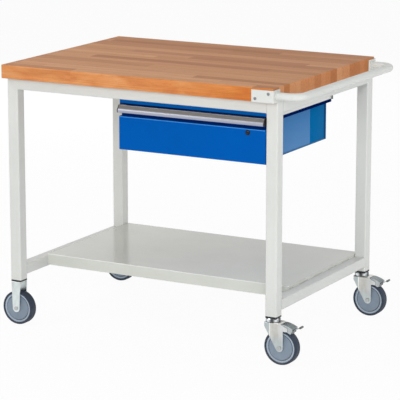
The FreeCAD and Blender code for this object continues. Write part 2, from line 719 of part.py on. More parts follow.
def label_strip(x, length):
    """A thin strip let into the slanted face of the grip."""
    _, top, under, _, _ = [Vector(x, y, z) for y, z in grip_outline(0.0)]
    down = (under - top).normalize()
    inward = X_AXIS.cross(down)
    a = top + down * LABEL_MARGIN
    b = under - down * LABEL_MARGIN
    corners = [a, b, b + inward * LABEL_THICK, a + inward * LABEL_THICK]
    return polygon_face(corners).extrude(Vector(length, 0, 0))


def grip_cap(x):
    """A closed plate of the grip's outline that covers one cut end."""
    edges = grip_edges(0.0, x)
    heel = Vector(x, BACKING_FRONT, GRIP_UNDER)
    edges.append(line(edges[-1].Vertexes[-1].Point, heel))
    edges.append(line(heel, edges[0].Vertexes[0].Point))
    return run_along_x(edges, GRIP_CAP)


def build_grip():
    x0 = DRAWER_LEFT + GRIP_CAP
    length = DRAWER_WIDE - 2 * GRIP_CAP
    outer, inner = grip_edges(0.0, x0), grip_edges(GRIP_WALL, x0)
    ends = [line(outer[i].Vertexes[i].Point, inner[i].Vertexes[i].Point) for i in (0, -1)]
    strip = label_strip(x0, length)
    add("drawer_grip", run_along_x(outer + inner + ends, length).cut(strip))
    add("label_strip", strip)
    add("grip_end_caps", grip_cap(DRAWER_LEFT), grip_cap(DRAWER_RIGHT - GRIP_CAP))


def build_lock():
    face = FRAME_FRONT
    bezel = pin(LOCK_BEZEL / 2, (LOCK_X, face - LOCK_BEZEL_PROUD, LOCK_Z), (LOCK_X, face, LOCK_Z))
    bezel = bezel.makeFillet(LOCK_BEZEL_PROUD / 2, edges_at_y(bezel, face - LOCK_BEZEL_PROUD))
    barrel = pin(LOCK_BARREL / 2, (LOCK_X, face, LOCK_Z), (LOCK_X, BACKING_BACK + LOCK_TAIL / 2, LOCK_Z))
    bore = pin(LOCK_PLUG / 2 + RUN_CLEARANCE, (LOCK_X, face - LOCK_BEZEL_PROUD, LOCK_Z),
               (LOCK_X, BACKING_BACK + LOCK_TAIL, LOCK_Z))
    add("lock_body", bezel.fuse(barrel).cut(bore))
    plug_front = face - LOCK_BEZEL_PROUD - LOCK_PLUG_PROUD
    plug = pin(LOCK_PLUG / 2, (LOCK_X, plug_front, LOCK_Z), (LOCK_X, CAM_FRONT, LOCK_Z))
    slot = block((LOCK_X - KEY_SLOT_WIDE / 2, plug_front, LOCK_Z - KEY_SLOT_TALL / 2),
                 (LOCK_X + KEY_SLOT_WIDE / 2, plug_front + KEY_SLOT_DEEP, LOCK_Z + KEY_SLOT_TALL / 2))
    cam_end = LOCK_X - CAM_LONG + CAM_WIDE / 2
    cam_back = CAM_FRONT + CAM_THICK
    cam = block((cam_end, CAM_FRONT, LOCK_Z - CAM_WIDE / 2), (LOCK_X, cam_back, LOCK_Z + CAM_WIDE / 2))
    heel = pin(CAM_WIDE / 2, (LOCK_X, CAM_FRONT, LOCK_Z), (LOCK_X, cam_back, LOCK_Z))
    tip = pin(CAM_WIDE / 2, (cam_end, CAM_FRONT, LOCK_Z), (cam_end, cam_back, LOCK_Z))
    add("lock_plug", plug.cut(slot).fuse([cam, heel, tip]).removeSplitter())


# Casters, drawn about the leg's centre line with the floor at zero
def fork_channel(top):
    """A bent channel along X, open below, whose two walls carry the axle."""
    far = 2 * WHEEL_DIA
    half, gap = FORK_OUTER / 2, FORK_GAP / 2
    outer = rounded_block((-far, -half, -far), (far, half, top), X_AXIS, FORK_BEND)
    inner_high = (far, gap, top - FORK_SHEET)
    return outer.cut(rounded_block((-far, -gap, -far), inner_high, X_AXIS, FORK_BEND - FORK_SHEET))


def across(radius, x, z):
    """A round bar along Y, longer than the fork is wide."""
    return pin(radius, (x, -FORK_OUTER, z), (x, FORK_OUTER, z))


def fork_from_outline(points, axle_x, end_radius, top, stem_radius):
    """The part of the channel inside a side view, with a round end about the axle."""
    side = slab(points, -FORK_OUTER, FORK_OUTER).fuse(across(end_radius, axle_x, WHEEL_RADIUS))
    stem_hole = pin(stem_radius, (0, 0, top - 2 * FORK_SHEET), (0, 0, top))
    axle_hole = across(AXLE_DIA / 2 + HOLE_CLEARANCE, axle_x, WHEEL_RADIUS)
    return fork_channel(top).common(side).cut([stem_hole, axle_hole])


def fixed_fork():
    half_top, half_end = FIXED_FORK_TOP / 2, FIXED_FORK_END / 2
    points = [(-half_top, CASTER_HEIGHT), (half_top, CASTER_HEIGHT),
              (half_end, WHEEL_RADIUS), (-half_end, WHEEL_RADIUS)]
    return fork_from_outline(points, 0, half_end, CASTER_HEIGHT, STEM_DIA / 2 + HOLE_CLEARANCE)


def caster_bolt():
    """A bolt from under the fixed fork's crown up into the leg insert."""
    seat = CASTER_HEIGHT - FORK_SHEET
    head = hex_prism(STEM_BOLT_ACROSS, (0, 0, seat), Vector(0, 0, -STEM_BOLT_HEAD_TALL))
    return head.fuse(pin(STEM_DIA / 2, (0, 0, seat), (0, 0, CASTER_HEIGHT + STEM_RISE)))


def nose_corners():
    """Side view of the swivel fork's leading edge: top, bend and the tangent point on its round end."""
    top = (-SWIVEL_FORK_NOSE, CROWN_TOP)
    bend = (-SWIVEL_FORK_NOSE, CROWN_TOP - SWIVEL_FORK_NOSE_TALL)
    run_x, run_z = SWIVEL_TRAIL - bend[0], WHEEL_RADIUS - bend[1]
    reach = math.hypot(run_x, run_z)
    radius = SWIVEL_FORK_END / 2
    angle = math.atan2(run_z, run_x) - math.asin(radius / reach)
    length = math.sqrt(reach ** 2 - radius ** 2)
    return top, bend, (bend[0] + length * math.cos(angle), bend[1] + length * math.sin(angle))


def nose_web():
    """The bent sheet that joins the swivel fork's walls along the top of its leading edge."""
    top, bend, tangent = nose_corners()
    low_z = CROWN_TOP - NOSE_WEB_TALL
    share = (low_z - bend[1]) / (tangent[1] - bend[1])
    low = (bend[0] + share * (tangent[0] - bend[0]), low_z)
    outer = [top, bend, low]
    inner = [(x + FORK_SHEET, z) for x, z in reversed(outer)]
    return slab(outer + inner, -FORK_GAP / 2, FORK_GAP / 2)


def swivel_fork():
    top, bend, tangent = nose_corners()
    shoulder_x = SWIVEL_TRAIL + SHOULDER_REACH
    shoulder_z = CROWN_TOP - SHOULDER_TOP_DROP
    under_z = shoulder_z - SHOULDER_TALL
    back_x = SWIVEL_TRAIL + SWIVEL_FORK_END / 2
    points = [top, (SWIVEL_CROWN_END, CROWN_TOP), (shoulder_x, shoulder_z), (shoulder_x, under_z),
              (back_x, under_z), (back_x, WHEEL_RADIUS), (SWIVEL_TRAIL, WHEEL_RADIUS), tangent, bend]
    stem = STEM_DIA / 2 + RUN_CLEARANCE
    fork = fork_from_outline(points, SWIVEL_TRAIL, SWIVEL_FORK_END / 2, CROWN_TOP, stem)
    return fork.fuse(nose_web().common(fork_solid_top())).removeSplitter()


def fork_solid_top():
    """Room under the swivel fork's rounded crown corners, to trim what is joined to it."""
    half = FORK_OUTER / 2
    far = 2 * WHEEL_DIA
    return rounded_block((-far, -half, -far), (far, half, CROWN_TOP), X_AXIS, FORK_BEND)


def swivel_head():
    """The fixed half of the swivel: stem, race plate with a skirt, king pin, washer and rivet."""
    stem, outer = STEM_DIA / 2, SWIVEL_HEAD_DIA / 2
    race = CASTER_HEIGHT - SWIVEL_PLATE
    skirt = CROWN_TOP + SWIVEL_SKIRT_GAP
    washer_top = CROWN_TOP - FORK_SHEET - SWIVEL_PLAY
    washer_under = washer_top - SWIVEL_WASHER
    rivet_under = washer_under - SWIVEL_RIVET_TALL
    stem_top = CASTER_HEIGHT + STEM_RISE
    inner = outer - SWIVEL_SKIRT
    washer, rivet = SWIVEL_WASHER_DIA / 2, SWIVEL_RIVET_DIA / 2
    points = [(0, stem_top), (stem, stem_top), (stem, CASTER_HEIGHT), (inner, CASTER_HEIGHT),
              (outer, CASTER_HEIGHT - SWIVEL_SKIRT), (outer, skirt), (inner, skirt), (inner, race),
              (stem, race), (stem, washer_top), (washer, washer_top), (washer, washer_under),
              (rivet, washer_under), (rivet, rivet_under), (0, rivet_under)]
    return turned(points, (0, 0, 0), Z_AXIS)


def swivel_balls():
    room = CASTER_HEIGHT - SWIVEL_PLATE - CROWN_TOP
    radius = room / 2 - SWIVEL_PLAY
    ring = BALL_RING_DIA / 2
    z = CROWN_TOP + room / 2
    turns = [2 * math.pi * i / BALL_COUNT for i in range(BALL_COUNT)]
    return [Part.makeSphere(radius, Vector(ring * math.cos(t), ring * math.sin(t), z)) for t in turns]


def axle_set(x):
    """Axle bolt, the sleeve that the hub turns on, and the nut."""
    z, half, gap = WHEEL_RADIUS, FORK_OUTER / 2, FORK_GAP / 2
    head = pin(AXLE_HEAD_DIA / 2, (x, -half - AXLE_HEAD_TALL, z), (x, -half, z))
    head = head.makeFillet(AXLE_HEAD_TALL / 2, edges_at_y(head, -half - AXLE_HEAD_TALL))
    end = half + AXLE_NUT_TALL + AXLE_END
    bolt = head.fuse(pin(AXLE_DIA / 2, (x, -half, z), (x, end, z)))
    hole = across(AXLE_DIA / 2 + HOLE_CLEARANCE, x, z)
    sleeve = pin(AXLE_SLEEVE_DIA / 2, (x, -gap, z), (x, gap, z)).cut(hole)
    nut = hex_prism(AXLE_NUT_ACROSS, (x, half, z), Vector(0, AXLE_NUT_TALL, 0)).cut(hole)
    return [bolt, sleeve, nut]


def mirrored_outline(upper):
    """A half outline of radius and height, closed by its own mirror image."""
    return upper + [(r, -z) for r, z in reversed(upper)]


def wheel_hub(x):
    bore = AXLE_SLEEVE_DIA / 2 + RUN_CLEARANCE
    boss_end = FORK_GAP / 2 - HUB_SIDE_PLAY
    boss = HUB_BOSS_DIA / 2
    rim = TYRE_SEAT - HUB_RIM_TALL
    groove = rim - HUB_GROOVE_TALL
    side = TYRE_WIDTH / 2 - TYRE_BEVEL_DEEP - HUB_RIM_STEP
    face = side - HUB_FACE_STEP
    floor = face - HUB_GROOVE_DEEP
    upper = [(bore, boss_end), (boss - HUB_BOSS_FLARE, boss_end), (boss, face), (groove, face),
             (groove, floor), (rim, floor), (rim, side), (TYRE_SEAT - TYRE_FIT, side)]
    return turned(mirrored_outline(upper), (x, 0, WHEEL_RADIUS), Y_AXIS)


def wheel_tyre(x):
    half = TYRE_WIDTH / 2
    upper = [(TYRE_SEAT, half - TYRE_BEVEL_DEEP), (TYRE_SEAT + TYRE_BEVEL_TALL, half), (WHEEL_RADIUS, half)]
    tyre = turned(mirrored_outline(upper), (0, 0, 0), Z_AXIS)
    rings = [edge for edge in tyre.Edges if edge.BoundBox.ZLength < SAME]
    shoulders = [ring for ring in rings if abs(ring.BoundBox.XLength - WHEEL_DIA) < SAME]
    tyre = tyre.makeFillet(TYRE_SHOULDER, shoulders)
    tyre.Placement = FreeCAD.Placement(Vector(x, 0, WHEEL_RADIUS), SEAM_DOWN)
    return tyre


# Brake: a pressed housing inside the swivel fork and a pedal with a shoe
def brake_roof_points():
    ends = [(BRAKE_ROOF_START, BRAKE_ROOF_START_DROP), (BRAKE_ROOF_MID, BRAKE_ROOF_MID_DROP),
            (BRAKE_ROOF_END, BRAKE_ROOF_END_DROP)]
    return [(SWIVEL_TRAIL + x, CROWN_TOP - drop) for x, drop in ends]


def pedal_point(x, drop):
    return SWIVEL_TRAIL + x, CROWN_TOP - drop


def brake_housing():
    gap = FORK_GAP / 2
    top = brake_roof_points()
    over = [Vector(x, -gap, z) for x, z in top]
    under = [Vector(x, -gap, z - BRAKE_ROOF) for x, z in top]
    edges = [Part.Arc(*over).toShape(), Part.Arc(*under).toShape()]
    edges += [line(over[i], under[i]) for i in (0, -1)]
    roof = Part.Face(Part.Wire(Part.__sortEdges__(edges))).extrude(Vector(0, 2 * gap, 0))
    start_x, end_x = top[0][0], top[2][0]
    low_z = top[0][1] - BRAKE_CHEEK_TALL
    outline = top + [(end_x - BRAKE_CHEEK_RAKE, low_z), (start_x, low_z)]
    wheel_room = across(WHEEL_RADIUS + BRAKE_WHEEL_GAP, SWIVEL_TRAIL, WHEEL_RADIUS)
    cheeks = [slab(outline, y, y + BRAKE_CHEEK).cut(wheel_room) for y in (-gap, gap - BRAKE_CHEEK)]
    pivot = pedal_point(PEDAL_PIVOT_X, PEDAL_PIVOT_DROP)
    return roof.fuse(cheeks).removeSplitter().cut(across(PEDAL_PIN_DIA / 2 + RUN_CLEARANCE, *pivot))


def brake_pedal():
    """A bent lever on a pivot pin, with the shoe that meets the tyre when it is pressed."""
    pivot = pedal_point(PEDAL_PIVOT_X, PEDAL_PIVOT_DROP)
    knee = pedal_point(PEDAL_KNEE_X, PEDAL_KNEE_DROP)
    tip = pedal_point(PEDAL_TIP_X, PEDAL_TIP_DROP)
    half = PEDAL_SHEET / 2
    heel = (pivot[0] - PEDAL_PIN_DIA / 2 - PEDAL_SHEET, pivot[1])
    route = [heel, pivot, knee, tip]
    outline = [(x, z + half) for x, z in route] + [(x, z - half) for x, z in reversed(route)]
    wide = PEDAL_WIDE / 2
    lever = slab(outline, -wide, wide)
    slope = (knee[1] - pivot[1]) / (knee[0] - pivot[0])
    shoe_x = (SWIVEL_TRAIL + SHOE_START, SWIVEL_TRAIL + SHOE_END)
    shoe_z = [pivot[1] + slope * (x - pivot[0]) for x in shoe_x]
    block_outline = [(shoe_x[0], shoe_z[0]), (shoe_x[1], shoe_z[1]),
                     (shoe_x[1], shoe_z[1] - SHOE_TALL), (shoe_x[0], shoe_z[0] - SHOE_TALL)]
    shoe = slab(block_outline, -wide, wide)
    shoe = shoe.cut(across(WHEEL_RADIUS + SHOE_GAP, SWIVEL_TRAIL, WHEEL_RADIUS))
    end = FORK_GAP / 2 - SWIVEL_PLAY
    axle = pin(PEDAL_PIN_DIA / 2, (pivot[0], -end, pivot[1]), (pivot[0], end, pivot[1]))
    return lever.fuse([shoe, axle]).removeSplitter()


def build_fixed_casters():
    fork, hub, tyre, axles = fixed_fork(), wheel_hub(0), wheel_tyre(0), axle_set(0)
    places = [leg_centre(corner) for corner in FIXED_CORNERS]
    for corner, place in zip(FIXED_CORNERS, places):
        add("fork_" + corner, moved(fork, *place))
        add("hub_" + corner, moved(hub, *place))
        add("tyre_" + corner, moved(tyre, *place))
    add("caster_bolts", *[moved(caster_bolt(), *place) for place in places])
    add("fixed_axles", *[moved(piece, *place) for place in places for piece in axles])


def build_swivel_casters():
    singles = {
        "swivel_head_": swivel_head(),
        "fork_": swivel_fork(),
        "hub_": wheel_hub(SWIVEL_TRAIL),
        "tyre_": wheel_tyre(SWIVEL_TRAIL),
        "brake_housing_": brake_housing(),
        "brake_pedal_": brake_pedal(),
    }
    axles, balls = axle_set(SWIVEL_TRAIL), swivel_balls()
    places = [leg_centre(corner) for corner in SWIVEL_CORNERS]
    for corner, place in zip(SWIVEL_CORNERS, places):
        for prefix, piece in singles.items():
            add(prefix + corner, moved(piece, *place))
        add("axle_" + corner, *[moved(piece, *place) for piece in axles])
    add("swivel_balls", *[moved(ball, *place) for place in places for ball in balls])


def main():
    build_worktop()
    build_screws()
    build_legs()
    build_top_rails()
    build_lower_rails()
    build_shelf()
    build_inserts()
    build_handle()
    build_housing()
    build_hangers()
    build_fascia()
    build_runners()
    build_drawer_box()
    build_drawer_front()
    build_grip()
    build_lock()
    build_fixed_casters()
    build_swivel_casters()
    os.makedirs("parts", exist_ok=True)
    for name, shape in nodes.items():
        shape.exportStep(os.path.join("parts", name + ".step"))


main()
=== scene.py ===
import bpy
import bmesh
import math
from mathutils import Matrix, Vector


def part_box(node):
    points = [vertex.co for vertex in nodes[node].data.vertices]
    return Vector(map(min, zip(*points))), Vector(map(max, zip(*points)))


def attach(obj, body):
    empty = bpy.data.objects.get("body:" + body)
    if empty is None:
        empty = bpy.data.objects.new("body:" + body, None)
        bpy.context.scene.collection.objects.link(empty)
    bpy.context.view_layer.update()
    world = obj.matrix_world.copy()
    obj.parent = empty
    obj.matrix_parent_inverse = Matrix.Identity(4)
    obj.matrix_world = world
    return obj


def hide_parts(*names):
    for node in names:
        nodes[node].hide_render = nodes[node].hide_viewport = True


# Looks of the mobile workbench. Metres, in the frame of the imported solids.
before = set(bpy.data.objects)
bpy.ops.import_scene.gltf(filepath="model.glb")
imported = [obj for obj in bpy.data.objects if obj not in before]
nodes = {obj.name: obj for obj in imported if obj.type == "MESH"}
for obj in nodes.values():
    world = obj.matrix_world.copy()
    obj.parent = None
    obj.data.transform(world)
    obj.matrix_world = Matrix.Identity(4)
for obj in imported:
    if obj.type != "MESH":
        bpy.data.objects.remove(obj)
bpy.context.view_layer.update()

X_AXIS = Vector((1, 0, 0))
Y_AXIS = Vector((0, 1, 0))
Z_AXIS = Vector((0, 0, 1))
CORNERS = ("front_left", "front_right", "rear_left", "rear_right")
FIXED_CORNERS = ("front_left", "rear_left")
SWIVEL_CORNERS = ("front_right", "rear_right")


# Short calls for node trees
def place(tree, kind, sockets=None, **settings):
    """Add a node. A socket among its inputs is linked, anything else is set as a value."""
    node = tree.nodes.new("ShaderNode" + kind)
    for name, value in settings.items():
        setattr(node, name, value)
    for key, value in (sockets or {}).items():
        if isinstance(value, bpy.types.NodeSocket):
            tree.links.new(value, node.inputs[key])
        else:
            node.inputs[key].default_value = value
    return node


def calc(tree, operation, a, b=0.0):
    return place(tree, "Math", {0: a, 1: b}, operation=operation).outputs[0]


def plus(tree, a, b):
    return calc(tree, "ADD", a, b)


def times(tree, a, b):
    return calc(tree, "MULTIPLY", a, b)


def span(tree, value, low, high, to_low=0.0, to_high=1.0):
    """Map a range of values onto another, held at both ends."""
    sockets = {"Value": value, "From Min": low, "From Max": high, "To Min": to_low, "To Max": to_high}
    return place(tree, "MapRange", sockets).outputs[0]


def axes(tree, vector):
    """The X, Y and Z of a vector."""
    return place(tree, "SeparateXYZ", {0: vector}).outputs


def stretched(tree, vector, amounts):
    return place(tree, "VectorMath", {0: vector, 1: amounts}, operation="MULTIPLY").outputs[0]


def dot(tree, a, b):
    return place(tree, "VectorMath", {0: a, 1: b}, operation="DOT_PRODUCT").outputs["Value"]


def noise(tree, vector, scale=1.0, detail=2.0, distortion=0.0):
    sockets = {"Vector": vector, "Scale": scale, "Detail": detail, "Distortion": distortion}
    return place(tree, "TexNoise", sockets).outputs[0]


def opaque(colour):
    """A colour with full alpha. A socket is passed on as it is."""
    return (*colour, 1) if isinstance(colour, tuple) else colour


def mixed(tree, share, a, b, kind="MIX"):
    sockets = {0: share, 6: opaque(a), 7: opaque(b)}
    return place(tree, "Mix", sockets, data_type="RGBA", blend_type=kind).outputs[2]


def ramp(tree, value, stops):
    node = place(tree, "ValToRGB", {0: value})
    elements = node.color_ramp.elements
    while len(elements) < len(stops):
        elements.new(0.5)
    for element, (position, colour) in zip(elements, stops):
        element.position = position
        element.color = opaque(colour)
    return node.outputs[0]


def effect(name, inputs, outputs):
    """A node group with named sockets. An output named Normal is a direction, any other a value."""
    tree = bpy.data.node_groups.new(name, "ShaderNodeTree")
    for label, (kind, value) in inputs.items():
        socket = tree.interface.new_socket(label, in_out="INPUT", socket_type="NodeSocket" + kind)
        if value is not None:
            socket.default_value = value
    for label in outputs:
        kind = "NodeSocketVector" if label == "Normal" else "NodeSocketFloat"
        tree.interface.new_socket(label, in_out="OUTPUT", socket_type=kind)
    start = tree.nodes.new("NodeGroupInput")
    end = tree.nodes.new("NodeGroupOutput")
    return tree, start.outputs, end.inputs


def use(tree, group, sockets):
    return place(tree, "Group", sockets, node_tree=group).outputs


# Effects that several finishes share
NOISE_SWING = (0.3, 0.7)  # where most values of a noise lie
LINE_TONES = (0.97, 1.02)
SCRATCH_CUT = (0.70, 0.74)  # the peaks of a noise that become scratches
LONG_SCRATCHES = (260.0, 18.0, 90.0)
CROSS_SCRATCHES = (15.0, 240.0, 70.0)


def powder_skin():
    """The fine peel of baked powder paint, and its slow unevenness."""
    inputs = {"Vector": ("Vector", None), "Peel": ("Float", 900.0)}
    tree, given, made = effect("powder_skin", inputs, ("Tone", "Roughness", "Height"))
    peel = noise(tree, given["Vector"], given["Peel"])
    cloud = noise(tree, given["Vector"], scale=7.0, detail=3.0)
    haze = noise(tree, given["Vector"], scale=60.0)
    tree.links.new(span(tree, cloud, *NOISE_SWING, 0.97, 1.02), made["Tone"])
    tree.links.new(span(tree, haze, *NOISE_SWING, -0.015, 0.02), made["Roughness"])
    tree.links.new(peel, made["Height"])
    return tree


def handling_marks():
    """Sparse thin scratches and rubbed patches."""
    inputs = {"Vector": ("Vector", None), "Amount": ("Float", 0.5)}
    tree, given, made = effect("handling_marks", inputs, ("Mark",))
    long = noise(tree, stretched(tree, given["Vector"], LONG_SCRATCHES), distortion=0.6)
    cross = noise(tree, stretched(tree, given["Vector"], CROSS_SCRATCHES), distortion=0.6)
    patch = noise(tree, given["Vector"], scale=9.0)
    lines = calc(tree, "MAXIMUM", span(tree, long, *SCRATCH_CUT), span(tree, cross, *SCRATCH_CUT))
    marks = times(tree, lines, span(tree, patch, 0.45, 0.65))
    tree.links.new(times(tree, marks, given["Amount"]), made["Mark"])
    return tree


def zinc_spangle():
    """The cloudy crystals of zinc plating."""
    inputs = {"Vector": ("Vector", None), "Scale": ("Float", 170.0)}
    tree, given, made = effect("zinc_spangle", inputs, ("Tone", "Roughness", "Height"))
    cells = place(tree, "TexVoronoi", {"Vector": given["Vector"], "Scale": given["Scale"]})
    crystal = place(tree, "SeparateColor", {0: cells.outputs["Color"]}).outputs[0]
    cloud = noise(tree, stretched(tree, given["Vector"], (1.0, 1.0, 0.4)), scale=42.0, detail=3.0)
    fine = noise(tree, given["Vector"], scale=1600.0, detail=1.0)
    facets = span(tree, crystal, 0.0, 1.0, -0.025, 0.025)
    clouds = span(tree, cloud, *NOISE_SWING, 0.82, 1.08)
    tree.links.new(plus(tree, facets, clouds), made["Tone"])
    tree.links.new(span(tree, crystal, 0.0, 1.0, -0.04, 0.05), made["Roughness"])
    tree.links.new(fine, made["Height"])
    return tree


def drawn_lines():
    """Fine lines left by rolling or drawing, along one direction."""
    inputs = {"Vector": ("Vector", None), "Across": ("Vector", (6.0, 1500.0, 1500.0))}
    tree, given, made = effect("drawn_lines", inputs, ("Tone", "Height"))
    lines = noise(tree, stretched(tree, given["Vector"], given["Across"]), detail=3.0)
    tree.links.new(span(tree, lines, *NOISE_SWING, *LINE_TONES), made["Tone"])
    tree.links.new(lines, made["Height"])
    return tree


def moulded_grain():
    """The fine eroded grain of moulded plastic and rubber."""
    inputs = {"Vector": ("Vector", None), "Scale": ("Float", 1400.0)}
    tree, given, made = effect("moulded_grain", inputs, ("Tone", "Roughness", "Height"))
    pits = place(tree, "TexVoronoi", {"Vector": given["Vector"], "Scale": given["Scale"]}).outputs[0]
    cloud = noise(tree, given["Vector"], scale=30.0, detail=3.0)
    tree.links.new(span(tree, cloud, *NOISE_SWING, 0.92, 1.06), made["Tone"])
    tree.links.new(span(tree, cloud, *NOISE_SWING, -0.05, 0.06), made["Roughness"])
    tree.links.new(pits, made["Height"])
    return tree


def floor_dust():
    """Pale dust that gathers low down and in patches."""
    inputs = {"Vector": ("Vector", None), "Clear above": ("Float", 0.30)}
    tree, given, made = effect("floor_dust", inputs, ("Dust",))
    low = span(tree, axes(tree, given["Vector"])["Z"], given["Clear above"], 0.0)
    patch = span(tree, noise(tree, given["Vector"], scale=24.0, detail=4.0), 0.42, 0.68)
    tree.links.new(times(tree, low, patch), made["Dust"])
    return tree


def soft_edges():
    """Sharp edges rounded in the light, and a mask of where they are."""
    tree, given, made = effect("soft_edges", {"Radius": ("Float", 0.001)}, ("Normal", "Edge"))
    soft = place(tree, "Bevel", {"Radius": given["Radius"]}, samples=6).outputs[0]
    true = place(tree, "NewGeometry").outputs["Normal"]
    tree.links.new(soft, made["Normal"])
    tree.links.new(span(tree, dot(tree, soft, true), 0.97, 0.72), made["Edge"])
    return tree


def top_rim_highlights():
    """Where a highlight is painted: the rounded edges round a top face, from how far the surface leans."""
    tree, given, made = effect("top_rim_highlights", {"Facing": ("Vector", None)}, ("Rim",))
    lean = axes(tree, given["Facing"])["Z"]
    rim = times(tree, span(tree, lean, 0.12, 0.3), span(tree, lean, 0.995, 0.95))
    tree.links.new(rim, made["Rim"])
    return tree


def colour_band():
    """How far another colour has taken over along an axis: from none at Start to all at Full."""
    inputs = {"Vector": ("Vector", None), "Axis": ("Vector", X_AXIS),
              "Start": ("Float", 0.0), "Full": ("Float", 1.0)}
    tree, given, made = effect("colour_band", inputs, ("Share",))
    along = dot(tree, given["Vector"], given["Axis"])
    tree.links.new(span(tree, along, given["Start"], given["Full"]), made["Share"])
    return tree


SKIN = powder_skin()
MARKS = handling_marks()
SPANGLE = zinc_spangle()
LINES = drawn_lines()
GRAIN = moulded_grain()
DUST = floor_dust()
EDGES = soft_edges()
RIM_HIGHLIGHTS = top_rim_highlights()
BAND = colour_band()


# Finishes
def finish(name, **sockets):
    """A material with its Principled shader, and the Object coordinates that its patterns read."""
    material = bpy.data.materials.new(name)
    material.use_nodes = True
    tree = material.node_tree
    shader = tree.nodes["Principled BSDF"]
    for key, value in sockets.items():
        shader.inputs[key.replace("_", " ")].default_value = value
    return material, tree, shader.inputs, place(tree, "TexCoord").outputs


def toned(tree, colour, tone):
    """A colour made lighter or darker by a value near one."""
    grey = place(tree, "CombineColor", {0: tone, 1: tone, 2: tone}).outputs[0]
    return mixed(tree, 1.0, colour, grey, "MULTIPLY")


def bumped(tree, height, strength, distance, normal=None):
    sockets = {"Height": height, "Strength": strength, "Distance": distance}
    if normal is not None:
        sockets["Normal"] = normal
    return place(tree, "Bump", sockets).outputs[0]


def dusted(tree, coords, base, amount, clear_above, colour):
    """Dust over a colour, where the piece has any."""
    if not amount:
        return base
    low = use(tree, DUST, {"Vector": coords["Object"], "Clear above": clear_above})
    return mixed(tree, times(tree, low["Dust"], amount), base, colour)


def banded(tree, coords, colour, bands):
    """A colour that gives way to others along an axis.

    Each band is an axis, the places where another colour starts and is full, and that colour.
    """
    ground = colour
    for axis, start, full, other in bands:
        sockets = {"Vector": coords["Object"], "Axis": axis, "Start": start, "Full": full}
        ground = mixed(tree, use(tree, BAND, sockets)["Share"], ground, other)
    return ground


# The beech of the worktop
STAVE_WIDTH = 0.043
STAVE_LENGTH = 0.66
WIDTH_WAVES = ((23.0, 0.007), (61.0, 0.003))  # radians a metre and reach of what makes staves uneven
LENGTH_SHUFFLE = 7.3
GLUE_LINE = (0.0003, 0.0010)
GRAIN_STRETCH = (5.0, 170.0, 170.0)
GRAIN_SHUFFLE = (40.0, 40.0, 40.0)
FLECK_STRETCH = (75.0, 1000.0, 1000.0)
HEART_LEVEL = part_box("worktop")[0].z + 0.005
HEART_ASIDE = (-0.09, 0.05)
HEART_ABOVE = (-0.08, 0.08)
HEART_SWAY = (0.4, 0.02, 0.02)
SWAY_REACH = 0.012
RING_TURN = 1500.0  # radians of the ring pattern a metre from the heart
FACES_AXIS = (0.35, 0.8)  # from none to all of a face's own colour, by how squarely it faces an axis
TOP_SHEEN_TONES = [(0.0, (0.40, 0.165, 0.066)), (0.16, (0.48, 0.215, 0.092)), (0.45, (0.58, 0.280, 0.126)),
             (0.8, (0.62, 0.312, 0.150)), (1.0, (0.69, 0.365, 0.184))]
TOP_PINK = (0.58, 0.24, 0.14)
PINK_SHARE = 0.25
BOARD_TONES = [(0.28, (0.54, 0.172, 0.048)), (0.5, (0.62, 0.232, 0.066)), (0.72, (0.66, 0.285, 0.100))]
BOARD_CLOUD = (9.0, 9.0, 30.0)
BOARD_LIGHT_DRIFT = (-0.05, 0.42)
BOARD_LIT_PALE = (1.03, 1.12, 1.36)
BOARD_DEEP = (0.965, 0.83, 0.60)
END_TONES = [(0.0, (0.45, 0.158, 0.050)), (0.4, (0.59, 0.232, 0.086)), (1.0, (0.69, 0.330, 0.155))]
GRAIN_TONES = (0.86, 1.10)
GRAIN_ROUGHNESS = (0.66, 0.52)
FLECK_BROWN = (0.22, 0.085, 0.03)
FLECK_SHARE = 0.30
GLUE_BROWN = (0.16, 0.062, 0.022)
GLUE_SHARE = 0.5
RUBBED_WOOD = (0.70, 0.42, 0.26)


def to_edge(tree, share, size):
    """How far the nearer end of a length is, from the share of it that is passed."""
    nearer = calc(tree, "MINIMUM", share, calc(tree, "SUBTRACT", 1.0, share))
    return times(tree, nearer, size)


